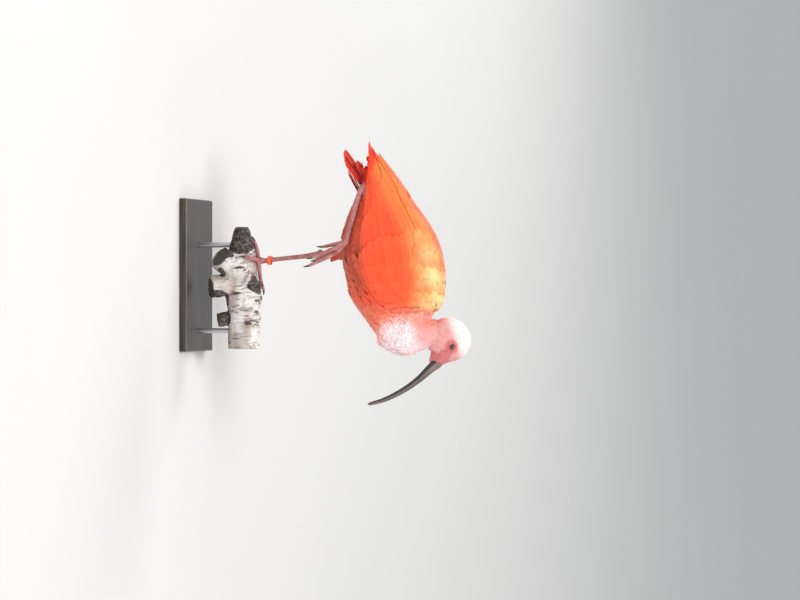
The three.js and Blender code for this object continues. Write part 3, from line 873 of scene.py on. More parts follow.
    @staticmethod
    def unwrap(points: Array) -> Array:
        """The skin laid flat, round the body's own middle line and along it.

        Args:
            points: Figure millimetres.

        Returns:
            Rows of two flat coordinates and 0.
        """
        x, y, z = points.T
        on_neck = ramp(60, 80, x) * ramp(225, 250, z)
        along = np.where(on_neck > 0.5, 0.62 + (z - 225) / 320, (x + 200) / 520)
        turn = np.arctan2(y, np.where(on_neck > 0.5, x - 90, z - 195))
        return np.column_stack([0.02 + 0.96 * (turn / CIRCLE + 0.5), along, 0 * x])


class Zone(Enum):
    """The stretches of skin that carry coats of their own."""

    HEAD = "on_head"
    NECK = "on_neck"
    BREAST = "on_breast"
    BACK = "on_back"
    BELLY = "on_belly"
    THIGH = "on_thigh"

    def mask(self, points: Array, plumage: Plumage) -> Array:
        """How thickly this coat grows at each place.

        Args:
            points: Figure millimetres.
            plumage: Where the face is bare.

        Returns:
            Shares from 0 to 1.
        """
        x, y, z = points.T
        first, last = Profile(Wing.EDGES)(x).T
        top, level, half, bottom = Body.ENVELOPE(x).T
        degrees = np.degrees(np.arctan2(
            np.abs(y), (z - level) * half / np.maximum(top - level, 1)))
        inside = (degrees > first + 6) & (degrees < last - 3) & (x < 57) & (x > -175)
        reach = np.where(z > level, top - level, level - bottom)
        radius = np.hypot(y / np.maximum(half, 1), (z - level) / reach)
        wing = inside & (radius > 0.6) & (z > 150)
        head = (z > 283) & (x > 58)
        neck = (z > 238 - 0.25 * (x - 90)) & (x > 62) & ~head
        feathered = plumage.bare_mask(points) < 0.45
        thigh = (z < 146) & (np.abs(x + 34) < 26) & (y > 2)
        rest = ~(head | neck | thigh | wing)
        masks = {
            Zone.HEAD: head & feathered,
            Zone.NECK: neck & feathered,
            Zone.BREAST: rest & (x > 30) & (z < 262),
            Zone.BACK: rest & (z > level + 8) & ~((x > 30) & (z < 262)),
            Zone.BELLY: rest & (z <= level + 8) & (x <= 30),
            Zone.THIGH: thigh,
        }
        return masks[self].astype(float)


class Wing:
    """Where a folded wing lies.

    EDGES has x, and the degrees of its upper and lower edge round from the back's middle line.
    """

    EDGES = [
        [-197, 20, 92],
        [-173, 8, 92],
        [-148, 4, 90],
        [-106, 4, 93],
        [-70, 5, 97],
        [-51, 6, 101],
        [-30, 6, 105],
        [-7, 6, 107],
        [9, 6, 103],
        [20, 6, 98],
        [33, 6, 92],
        [46, 7, 84],
        [54, 20, 78],
        [60, 34, 73],
        [65, 52, 64],
    ]


class Leaves:
    """Gathers many feather vanes into one mesh, each a closed thin lens."""

    CREASE = 40.0
    THINNING = 0.7

    def __init__(self) -> None:
        """Start with no vanes."""
        self.points: list[Array] = []
        self.faces: list[tuple] = []
        self.leaf: list[Array] = []
        self.tone: list[Array] = []
        self.root: list[Array] = []
        self.count = 0

    def add(self, face: Array, across: Array, along: Array, length: float, tone: float,
            thickness: float = 0.45) -> None:
        """Add one vane.

        Args:
            face: Points of its upper face, as rows along it and columns across.
            across: Place of each column, from -1 to 1.
            along: Place of each row, from 0 at the root to 1 at the tip.
            length: Length in millimetres.
            tone: How pale or dark this feather is against its neighbours.
            thickness: Thickness at the shaft.
        """
        rows, columns = face.shape[:2]
        run = np.gradient(face, axis=0)
        turn = np.gradient(face, axis=1)
        normal = unit(np.cross(run, turn))
        deep = thickness * (1 - across**2)[None, :, None]
        deep = deep * (1 - self.THINNING * along)[:, None, None]
        sign = 1.0 if normal[rows // 2, columns // 2] @ self.away(face) < 0 else -1.0
        under = (face + normal * sign * deep)[:, 1:-1]
        base = self.count
        low = base + rows * columns
        inner = columns - 2

        def below(i: int, j: int) -> int:
            """A point of the under side.

            Args:
                i: Its row.
                j: Its column.

            Returns:
                The point's number.
            """
            if j in (0, columns - 1) or i == rows - 1:
                return base + i * columns + j
            return low + i * inner + j - 1

        top = Mesher.grid(rows, columns, start=base)
        if sign < 0:
            top = [quad[::-1] for quad in top]
        self.faces += top
        for i in range(rows - 1):
            for j in range(columns - 1):
                quad = [below(i, j), below(i + 1, j), below(i + 1, j + 1), below(i, j + 1)]
                quad = quad if sign > 0 else quad[::-1]
                self.faces.append(tuple(dict.fromkeys(quad)))
        for j in range(columns - 1):
            quad = [base + j, below(0, j), below(0, j + 1), base + j + 1]
            quad = quad if sign > 0 else quad[::-1]
            corners = tuple(dict.fromkeys(quad))
            if len(corners) > 2:
                self.faces.append(corners)
        grid_x, grid_y = np.meshgrid(across, along)
        leaf = np.stack([grid_x, grid_y, np.full_like(grid_x, length)], axis=-1)
        self.points += [face.reshape(-1, 3), under[:-1].reshape(-1, 3)]
        self.leaf += [leaf.reshape(-1, 3), leaf[:-1, 1:-1].reshape(-1, 3)]
        total = rows * columns + (rows - 1) * inner
        self.tone.append(np.full(total, tone))
        self.root.append(np.tile(face[0, columns // 2], (total, 1)))
        self.count += total

    @staticmethod
    def outline(along: Array, root: float, full: float, tip: float, least: float = 0.05
                ) -> Array:
        """How broad a vane is at each place along it, as a share of its full breadth.

        Args:
            along: Places from 0 at the root to 1 at the tip.
            root: The share at the root.
            full: Where the vane reaches its full breadth.
            tip: How much of the length the rounded tip takes.
            least: The share that is kept everywhere.

        Returns:
            One share for each place.
        """
        rounded = np.sqrt(np.clip(1 - ((along - 1 + tip) / tip).clip(0) ** 2, 0, 1))
        return np.maximum((root + (1 - root) * ramp(0, full, along)) * rounded, least)

    @staticmethod
    def away(face: Array) -> Array:
        """The way roughly outwards from the body at a vane.

        Args:
            face: Points of its upper face.

        Returns:
            A vector, not of length one.
        """
        middle = face[face.shape[0] // 2, face.shape[1] // 2]
        level = float(Body.ENVELOPE(middle[0])[0, 1])
        return np.array([0.0, middle[1], middle[2] - level])

    def build(self, name: str, plumage: Plumage, paler: float = 0.0) -> bpy.types.Object:
        """The joined vanes as one object with the attributes that its finish reads.

        Args:
            name: Name of the object.
            plumage: The colours by place.
            paler: How much the tips lean to the pale side.

        Returns:
            The object.
        """
        points = np.vstack(self.points)
        item = Mesher.piece(name, points, self.faces)
        mesh = item.data
        leaf, root = np.vstack(self.leaf), np.vstack(self.root)
        Mesher.attribute(mesh, "tint", plumage.tint(points))
        Mesher.attribute(mesh, "leaf", leaf)
        Mesher.attribute(mesh, "tone", np.concatenate(self.tone) + paler * leaf[:, 1])
        Coat.lay_out(mesh, Skin.unwrap(root), leaf)
        mesh.set_sharp_from_angle(angle=math.radians(self.CREASE))
        LOG.info("%s: %d faces", name, len(mesh.polygons))
        return item


@dataclass(frozen=True)
class Tier:
    """One row of a wing's feathers, from the lowest to the highest.

    low and high give the root and the tip of the first and the last feather, as x and degrees
    round from the back's middle line.
    """

    name: str
    count: int
    low: Row
    high: Row
    cover: float
    top: float = -0.6
    width: float = 1.5
    round_tip: float = 0.5
    wander: float = 1.5
    least: float = 0.0


@dataclass
class WingFeathers(Wing):
    """The feathers of one folded wing."""

    TIP = 0.36
    ROOT_DEPTH = 6.2
    BOW = 0.35
    SHAFT = 0.16
    SHAFT_WIDTH = 0.12
    CLEAR = 0.25
    FRAY = 0.07
    LAP = 0.48
    LAP_CHANGE = 0.16

    side: int
    rows: int = 19
    columns: int = 9
    tiers: tuple = (
        Tier("primary", 7, (-46, 97, -150, 96), (-56, 66, -196.5, 62), 60, -2.0, 1.7, 0.3, 0.6,
             4.2),
        Tier("secondary", 12, (-6, 101, -88, 97), (-30, 13, -189, 34), 62, -1.2, 1.8, 0.4, 0.8,
             3.6),
        Tier("greater_covert", 12, (20, 98, -38, 103), (6, 13, -92, 16), 34, -0.9, 1.65, 0.6, 1.5),
        Tier("median_covert", 13, (37, 88, -8, 101), (30, 13, -40, 14), 26, -0.7, 1.7, 0.7, 2.2),
        Tier("lesser_covert_a", 13, (46, 82, 14, 94), (40, 14, -8, 15), 20, -0.6, 1.7, 0.8, 2.6),
        Tier("lesser_covert_b", 12, (53, 77, 30, 86), (48, 17, 16, 16), 15, -0.5, 1.7, 0.8, 2.8),
        Tier("lesser_covert_c", 11, (58, 72, 42, 79), (55, 24, 33, 19), 12, -0.5, 1.7, 0.8, 2.8),
        Tier("marginal_covert", 9, (62.5, 67, 52, 73), (61, 40, 47, 30), 9, -0.5, 1.7, 0.8, 2.6),
    )

    def vane(self, leaves: Leaves, tier: Tier, share: float, seed: float) -> None:
        """Lay one feather of a tier.

        Args:
            leaves: Where the feather goes.
            tier: Its row.
            share: Its place in the row, from 0 at the lowest to 1 at the highest.
            seed: A number that varies it.
        """
        low, high = np.asarray(tier.low, float), np.asarray(tier.high, float)
        line = low + (high - low) * share
        reach = abs(line[2] - line[0])
        line[2] += tier.wander * 0.045 * reach * math.sin(7.3 * seed)
        line[3] += tier.wander * 0.55 * math.sin(3.1 * seed + 2)
        gap = np.abs(low - high)[[1, 3]] / (tier.count - 1)
        along = np.linspace(0, 1, self.rows)
        across = np.linspace(-1, 1, self.columns)
        broad = Leaves.outline(along, 0.55, 0.3, tier.round_tip * self.TIP, 0.04)
        half = (gap[0] + (gap[1] - gap[0]) * along) * tier.width * 0.5 * broad
        place = line[0] + (line[2] - line[0]) * along
        least = np.degrees(tier.least / (Body.ENVELOPE(place)[:, 2] + 3)).clip(0, 20) * broad
        half = np.maximum(half, least)
        degrees = line[1] + (line[3] - line[1]) * along
        length = abs(line[2] - line[0])
        rise = (self.ROOT_DEPTH + tier.top) * ramp(0, tier.cover, along * length) - self.ROOT_DEPTH
        fray = np.sin(37 * along[:, None] + 9 * across + 5 * seed)
        ragged = 1 + self.FRAY * fray * ramp(0.25, 0.6, along)[:, None]
        grid_x = place[:, None] - 0.05 * length * (across**2)[None] * (along[:, None] > 0.5) * 0.3
        grid_d = degrees[:, None] + half[:, None] * ragged * across[None]
        grid_x = grid_x - 0.5 * np.sin(11 * across + 3 * seed) * (along[:, None] > 0.9)
        shaft = self.SHAFT * np.exp(-(across / self.SHAFT_WIDTH) ** 2)
        bow = (self.BOW * (1 - across**2) + shaft)[None]
        lap = (self.LAP + self.LAP_CHANGE * math.sin(5.7 * seed)) * across[None] * broad[:, None]
        lift = rise[:, None] + bow + lap - 0.5 * (along**3)[:, None]
        face = Body.on_envelope(grid_x, grid_d, self.side, lift)
        face[..., 1] = self.side * np.maximum(self.side * face[..., 1], self.CLEAR)
        tone = 0.5 * math.sin(12.9 * seed) + 0.5 * math.sin(4.1 * seed + 1)
        leaves.add(face, across, along, length, tone)

    def build(self, plumage: Plumage) -> bpy.types.Object:
        """All the tiers as one piece.

        Args:
            plumage: The colours by place.

        Returns:
            The object.
        """
        leaves = Leaves()
        for number, tier in enumerate(self.tiers):
            for i in range(tier.count):
                self.vane(leaves, tier, i / (tier.count - 1), i + 20 * number + self.side)
            LOG.info("%s %s: %d feathers", SIDES[self.side], tier.name, tier.count)
        return leaves.build(f"wing_feathers_{SIDES[self.side]}", plumage)


@dataclass
class Scapulars(Wing):
    """The long feathers that lie over the back and the upper edge of a folded wing."""

    ROOT_DEPTH = 4.0
    STAND = 0.7
    LAP = 0.35
    CROSSING = 2.6

    side: int
    ranks: tuple = (
        (5, (-130, 2), (-140, 24), 46, 8.5),
        (6, (-112, 2), (-126, 24), 50, 8.5),
        (6, (-92, 2), (-110, 24), 54, 9.0),
        (7, (-66, 1), (-90, 26), 52, 9.5),
        (8, (-40, 1), (-70, 32), 50, 10.5),
        (8, (-18, 1), (-44, 38), 42, 11.5),
        (8, (4, 1), (-20, 44), 36, 12.0),
        (8, (22, 1), (0, 48), 30, 11.5),
        (8, (37, 1), (18, 52), 25, 10.5),
        (8, (49, 1), (34, 50), 20, 9.0),
        (8, (58, 1), (46, 44), 16, 8.0),
    )

    def build(self, plumage: Plumage) -> bpy.types.Object:
        """Every rank of scapulars as one piece.

        Args:
            plumage: The colours by place.

        Returns:
            The object.
        """
        leaves = Leaves()
        along = np.linspace(0, 1, 13)
        across = np.linspace(-1, 1, 5)
        broad = Leaves.outline(along, 0.5, 0.35, 0.28)
        for rank, (count, start, end, length, width) in enumerate(self.ranks):
            for i in range(count):
                share = i / (count - 1)
                seed = i + 11 * rank + 3 * self.side
                x0 = start[0] + (end[0] - start[0]) * share * 0.3 + 1.5 * math.sin(5 * seed)
                d0 = start[1] + (end[1] - start[1]) * share
                long = length * (1 + 0.1 * math.sin(3.7 * seed))
                place = x0 - long * along
                degrees = d0 + 3.0 * math.sin(2.3 * seed) * along + 2 * along
                wide = width * (1 + 0.15 * math.sin(6.1 * seed))
                half = np.degrees(wide / 2 * broad / (Body.ENVELOPE(place)[:, 2] + 2))
                grid_d = degrees[:, None] + half[:, None] * across
                rise = (self.ROOT_DEPTH + self.STAND) * ramp(0, 0.45, along) - self.ROOT_DEPTH
                lap = self.LAP if i else 0.0
                lift = rise[:, None] + 0.4 * (1 - across**2) - lap * across
                face = Body.on_envelope(place[:, None] + 0 * across, grid_d, self.side, lift)
                face[..., 1] = self.side * np.maximum(self.side * face[..., 1], -self.CROSSING)
                leaves.add(face, across, along, long, math.sin(12.9 * seed) * 0.8)
        return leaves.build(f"scapulars_{SIDES[self.side]}", plumage)


@dataclass
class TailFeathers:
    """The folded tail fan."""

    pairs: int = 6
    root: Row = (-143.0, 172.0)
    tip: Row = (-190.0, 138.6)
    spread: Row = (1.8, 3.3)
    width: float = 14.0
    step: float = 1.75
    coverts: tuple = (
        (5, (-132, 180), (-168, 158), 4.2, 9.5),
        (6, (-136, 170), (-174, 143), 3.4, 9.0),
        (6, (-128, 166), (-164, 143), 4.2, 9.5),
        (7, (-116, 163), (-154, 143), 4.8, 10.0),
    )

    @staticmethod
    def slope(root: Row, tip: Row) -> tuple[Array, Array]:
        """The way that a feather in the bird's middle plane runs.

        Args:
            root: Place along the body and height of its root.
            tip: The same of its tip.

        Returns:
            The way from root to tip, and the unit vector square to it.
        """
        way = np.array([tip[0] - root[0], 0, tip[1] - root[1]])
        return way, unit(np.array([way[2], 0, -way[0]]))

    def build(self, plumage: Plumage) -> bpy.types.Object:
        """The tail feathers as one piece, the middle pair on top.

        Args:
            plumage: The colours by place.

        Returns:
            The object.
        """
        leaves = Leaves()
        along = np.linspace(0, 1, 14)
        across = np.linspace(-1, 1, 7)
        way, up = self.slope(self.root, self.tip)
        broad = Leaves.outline(along, 0.6, 0.4, 0.14)
        for place in range(-self.pairs, self.pairs):
            rank = abs(place + 0.5)
            aside = 1.0 if place >= 0 else -1.0
            reach = 1 - 0.012 * rank * rank
            y = (place + 0.5) * (self.spread[0] + (self.spread[1] - self.spread[0]) * along)
            lift = -self.step * rank - self.step * 0.7 * across[None] * aside * broad[:, None]
            lift = lift + 0.3 * (1 - across**2)[None] + 0.15 * np.exp(-(across / 0.12) ** 2)[None]
            face = np.array([self.root[0], 0, self.root[1]]) + along[:, None, None] * reach * way
            face = face + lift[..., None] * up
            face[..., 1] += y[:, None] + across[None] * self.width / 2 * broad[:, None]
            leaves.add(face, across, along, 58, 0.5 * math.sin(9.1 * place))
        for rank, (count, start, end, spacing, width) in enumerate(self.coverts):
            way, up = self.slope(start, end)
            up = up if rank == 0 else -up
            for i in range(count):
                aside = i - (count - 1) / 2
                seed = 10 * rank + i
                reach = 1 + 0.1 * math.sin(7 * seed)
                face = np.array([start[0], 0, start[1]]) + along[:, None, None] * reach * way
                fall = -0.12 * aside * aside * spacing + 0.4 * (1 - across**2)[None]
                face = face + fall[..., None] * up
                face[..., 1] += aside * spacing * (1 + 0.3 * along[:, None])
                face[..., 1] += across[None] * width / 2 * broad[:, None]
                leaves.add(face, across, along, 34, 0.6 * math.sin(5.3 * seed))
        return leaves.build("tail_feathers", plumage)


@dataclass
class FlankFeathers:
    """The loose feathers that hang from a flank below the wing's front edge."""

    ROOT_DEPTH = 7.0

    side: int
    ranks: tuple = (
        (9, (57, 80), (-8, 106), 25, 10.0, -1.6),
        (10, (50, 100), (-14, 120), 26, 10.5, -2.2),
        (9, (46, 120), (-12, 136), 23, 9.5, -1.6),
    )

    def build(self, plumage: Plumage) -> bpy.types.Object:
        """Every loose feather of the flank as one piece.

        Args:
            plumage: The colours by place.

        Returns:
            The object.
        """
        leaves = Leaves()
        along = np.linspace(0, 1, 13)
        across = np.linspace(-1, 1, 7)
        broad = Leaves.outline(along, 0.4, 0.45, 0.38)
        for rank, (count, start, end, length, width, stand) in enumerate(self.ranks):
            for i in range(count):
                seed = i + 13 * rank + 5 * self.side
                share = i / (count - 1)
                x0 = start[0] + (end[0] - start[0]) * share + 2.2 * math.sin(5.9 * seed)
                d0 = start[1] + (end[1] - start[1]) * share + 3 * math.sin(3.3 * seed)
                long = length * (1 + 0.16 * math.sin(2.9 * seed))
                bend = 0.35 + 0.25 * math.sin(4.7 * seed)
                place = x0 - long * (0.62 * along + 0.3 * bend * along**2)
                wide = Body.ENVELOPE(place)[:, 2] + 2
                degrees = d0 + np.degrees(long * 0.72 * along / wide)
                grid_x = place[:, None] + 0.45 * width * broad[:, None] * across
                half = np.degrees(0.36 * width * broad / wide)
                grid_d = degrees[:, None] + half[:, None] * across
                rise = (self.ROOT_DEPTH + stand) * ramp(0, 0.5, along) - self.ROOT_DEPTH
                rise = rise + 0.9 * math.sin(seed) * along - 1.8 * along**2
                lift = rise[:, None] + 0.9 * (1 - across**2) + 0.6 * across * math.sin(6 * seed)
                ragged = 0.12 * np.sin(9 * across + 3 * seed) * (along[:, None] > 0.8)
                face = Body.on_envelope(grid_x, grid_d, self.side, lift + ragged)
                leaves.add(face, across, along, long, 0.9 * math.sin(12.9 * seed))
        return leaves.build(f"flank_feathers_{SIDES[self.side]}", plumage, paler=0.5)


class Nodes:
    """A node tree in the making."""

    def __init__(self, tree: bpy.types.NodeTree) -> None:
        """Keep the tree."""
        self.tree = tree

    def sockets(self, way: str, **kinds: str) -> None:
        """Name the tree's inputs or outputs.

        Args:
            way: INPUT or OUTPUT.
            kinds: The kind of each, by name.
        """
        for name, kind in kinds.items():
            self.tree.interface.new_socket(name, in_out=way, socket_type=f"NodeSocket{kind}")

    def new(self, kind: str, inputs: dict | None = None, **settings: object) -> bpy.types.Node:
        """Add a node.

        Args:
            kind: Its type.
            inputs: Values or sockets for its inputs, by name or number.
            settings: Its own properties.

        Returns:
            The node.
        """
        node = self.tree.nodes.new(kind)
        for key, value in settings.items():
            setattr(node, key, value)
        for key, value in (inputs or {}).items():
            self.feed(node.inputs[key], value)
        return node

    def feed(self, socket: bpy.types.NodeSocket, value: object) -> None:
        """Link a socket to an input, or set the input's own value.

        Args:
            socket: The input.
            value: A socket, number, text, colour or vector.
        """
        if isinstance(value, bpy.types.NodeSocket):
            self.tree.links.new(value, socket)
        elif socket.type == "RGBA" and len(value) == 3:
            socket.default_value = (*value, 1.0)
        else:
            socket.default_value = value


class Coat:
    """Grows one zone's small feathers on the skin with Geometry Nodes."""

    PATCH = 0.003
    DENSITY = 4e6
    FORMS = 3
    LEAF_LENGTH = 10.0
    CHANCE = {
        "lift": (0.4, 1.5, 1),
        "roll": (-0.14, 0.14, 2),
        "turn": (-0.22, 0.22, 3),
        "length": (0.8, 1.18, 4),
        "width": (0.85, 1.15, 5),
        "tone": (-1.0, 1.0, 6),
    }

    def __init__(self, zone: Zone, spacing: float, seed: int, fine: bool = False) -> None:
        """Choose where and how thickly the feathers grow.

        Args:
            zone: The stretch of skin.
            spacing: Least distance between roots, in millimetres.
            seed: Seed of the scatter.
            fine: Whether the feathers are the plainer, smallest kind.
        """
        self.zone, self.spacing, self.seed, self.fine = zone, spacing, seed, fine

    @staticmethod
    def template(number: int, fine: bool) -> bpy.types.Object:
        """One feather of unit length and width, lying along +Y with its upper face up.

        Args:
            number: Which of the like but not equal forms.
            fine: Whether it has fewer rows.

        Returns:
            The feather, a closed thin lens with its own leaf coordinates.
        """
        along = np.array([0, 0.3, 0.7, 1.0]) if fine else np.array([0, 0.2, 0.45, 0.7, 0.88, 1.0])
        width = np.interp(along, [0, 0.2, 0.45, 0.7, 0.88, 1], [0.2, 0.62, 0.95, 1, 0.72, 0.12])
        across = np.array([-1.0, 0.0, 1.0])
        skew = 0.06 * (number - 1)
        arch = 0.11 * along - 0.17 * along**2 - 0.02
        points, leaf = [], []
        for t, w, height in zip(along, width, arch):
            for a in across:
                x = 0.5 * w * a * (1 + 0.12 * math.sin(9 * t + 2 * number + a)) + skew * t * t
                points.append([x, t - 0.05 * a * a * (t > 0.5), height - 0.10 * a * a * w])
                leaf.append([a, t, Coat.LEAF_LENGTH])
        rows = len(along)
        low = rows * 3
        for t, w, height in zip(along[:-1], width, arch):
            points.append([skew * t * t, t, height - 0.04 * w])
            leaf.append([0.0, t, Coat.LEAF_LENGTH])
        faces = Mesher.grid(rows, 3)
        for i in range(rows - 1):
            here, after = low + i, (low + i + 1 if i + 1 < rows - 1 else (rows - 1) * 3 + 1)
            left, right = i * 3, i * 3 + 2
            faces.append((left, left + 3, after, here))
            faces.append((here, after, right + 3, right))
        faces += [(0, low, 1), (1, low, 2)]
        mesh = bpy.data.meshes.new(f"small_feather_{number}")
        mesh.from_pydata(points, [], faces)
        mesh.polygons.foreach_set("use_smooth", [True] * len(mesh.polygons))
        Mesher.attribute(mesh, "leaf", np.array(leaf))
        item = bpy.data.objects.new(mesh.name, mesh)
        Mesher.outward(item)
        mesh.set_sharp_from_angle(angle=math.radians(Leaves.CREASE))
        return item

    @staticmethod
    def lay_out(mesh: bpy.types.Mesh, root: Array, leaf: Array) -> None:
        """Give each feather a small patch at its root's place on the skin laid flat.

        Args:
            mesh: The feathers.
            root: Place on the flat skin of each point's root.
            leaf: Place of each point across and along its own feather.
        """
        corners = np.empty(len(mesh.loops), dtype=np.int64)
        mesh.loops.foreach_get("vertex_index", corners)
        place = root[:, :2] + Coat.PATCH * np.column_stack([leaf[:, 0] * 0.5, leaf[:, 1] - 0.5])
        layer = mesh.uv_layers.new(name="OFBake")
        layer.data.foreach_set("uv", np.clip(place, 0.001, 0.999)[corners].ravel())

    @staticmethod
    def tree() -> bpy.types.NodeTree:
        """The Geometry Nodes that scatter, turn, size and realize the feathers.

        Returns:
            The tree.
        """
        nodes = Nodes(bpy.data.node_groups.new("Feather coat", "GeometryNodeTree"))
        nodes.sockets("INPUT", Geometry="Geometry", Zone="String", Spacing="Float", Seed="Int",
                      Feathers="Collection", Finish="Material")
        nodes.sockets("OUTPUT", Geometry="Geometry")
        new = nodes.new
        given = new("NodeGroupInput").outputs

        def stored(name: object, kind: str = "FLOAT_VECTOR") -> bpy.types.NodeSocket:
            """A value kept on the skin."""
            node = new("GeometryNodeInputNamedAttribute", {"Name": name}, data_type=kind)
            return node.outputs["Attribute"]

        def chance(name: str) -> bpy.types.NodeSocket:
            """A random number for each feather."""
            inputs = dict(zip((2, 3, "Seed"), Coat.CHANCE[name]))
            return new("FunctionNodeRandomValue", inputs, data_type="FLOAT").outputs[1]

        def times(a: bpy.types.NodeSocket, b: bpy.types.NodeSocket) -> bpy.types.NodeSocket:
            """A product."""
            return new("ShaderNodeMath", {0: a, 1: b}, operation="MULTIPLY").outputs[0]

        scatter = new("GeometryNodeDistributePointsOnFaces", {
            "Mesh": given["Geometry"], "Density Factor": stored(given["Zone"], "FLOAT"),
            "Distance Min": given["Spacing"], "Density Max": Coat.DENSITY, "Seed": given["Seed"],
        }, distribute_method="POISSON").outputs
        stand = new("FunctionNodeAlignRotationToVector", {"Vector": scatter["Normal"]}, axis="Z")
        lie = new("FunctionNodeAlignRotationToVector",
                  {"Rotation": stand.outputs["Rotation"], "Vector": stored("lie")},
                  axis="Y", pivot_axis="Z")
        size = new("ShaderNodeSeparateXYZ", {0: stored("size")}).outputs
        turn = new("ShaderNodeCombineXYZ", {"X": times(size["Z"], chance("lift")),
                                            "Y": chance("roll"), "Z": chance("turn")})
        euler = new("FunctionNodeEulerToRotation", {0: turn.outputs[0]})
        ruffle = new("FunctionNodeRotateRotation", {"Rotation": lie.outputs["Rotation"],
                                                    "Rotate By": euler.outputs[0]},
                     rotation_space="LOCAL")
        long = times(size["X"], chance("length"))
        scale = new("ShaderNodeCombineXYZ",
                    {"X": times(size["Y"], chance("width")), "Y": long, "Z": long})
        kinds = new("GeometryNodeCollectionInfo", {
            "Separate Children": True, "Reset Children": True, "Collection": given["Feathers"]})
        which = new("FunctionNodeRandomValue", {4: 0, 5: Coat.FORMS - 1}, data_type="INT")
        place = new("GeometryNodeInstanceOnPoints", {
            "Points": scatter["Points"], "Instance": kinds.outputs[0], "Pick Instance": True,
            "Instance Index": which.outputs[2], "Rotation": ruffle.outputs["Rotation"],
            "Scale": scale.outputs[0],
        })
        tone = new("GeometryNodeStoreNamedAttribute",
                   {"Geometry": place.outputs[0], "Name": "tone", "Value": chance("tone")},
                   data_type="FLOAT", domain="INSTANCE")
        real = new("GeometryNodeRealizeInstances", {0: tone.outputs[0]})
        dressed = new("GeometryNodeSetMaterial",
                      {"Geometry": real.outputs[0], "Material": given["Finish"]})
        new("NodeGroupOutput", {0: dressed.outputs[0]})
        return nodes.tree

    def build(self, skin: bpy.types.Object, tree: bpy.types.NodeTree,
              finish: bpy.types.Material) -> bpy.types.Object:
        """Grow the coat and keep it as plain mesh.

        Args:
            skin: The skin that it grows on.
            tree: The feather coat's node tree.
            finish: The feathers' material.

        Returns:
            The coat, one object.
        """
        kinds = bpy.data.collections.new("small feathers")
        shapes = [self.template(number, self.fine) for number in range(self.FORMS)]
        for shape in shapes:
            kinds.objects.link(shape)
        name = f"coat_{self.zone.value[3:]}"
        item = bpy.data.objects.new(name, skin.data.copy())
        bpy.context.scene.collection.objects.link(item)
        grow = item.modifiers.new("Grow", "NODES")
        grow.node_group = tree
        values = {"Zone": self.zone.value, "Spacing": self.spacing / MILLIMETRES, "Seed": self.seed,
                  "Feathers": kinds, "Finish": finish}
        for socket in tree.interface.items_tree:
            if socket.name in values and socket.in_out == "INPUT":
                grow[socket.identifier] = values[socket.name]
        Mesher.applied(item)
        mesh = item.data
        root = self.vectors(mesh, "unwrap")
        leaf = self.vectors(mesh, "leaf")
        self.lay_out(mesh, root, leaf)
        keep = {"tint", "leaf", "tone", "position", ".edge_verts", ".corner_vert", ".corner_edge",
                "sharp_face", "sharp_edge", "material_index", "OFBake"}
        for layer in [a.name for a in mesh.attributes if a.name not in keep]:
            mesh.attributes.remove(mesh.attributes[layer])
        bpy.data.collections.remove(kinds)
        for shape in shapes:
            bpy.data.meshes.remove(shape.data)
        LOG.info("%s: %d faces", name, len(mesh.polygons))
        return item

    @staticmethod
    def vectors(mesh: bpy.types.Mesh, name: str) -> Array:
        """A stored vector for each of the mesh's points.

        Args:
            mesh: The mesh.
            name: Name of the attribute.

        Returns:
            One row for each point.
        """
        layer = mesh.attributes[name]
        out = np.empty(len(layer.data) * 3, np.float32)
        layer.data.foreach_get("vector", out)
        return out.reshape(-1, 3)


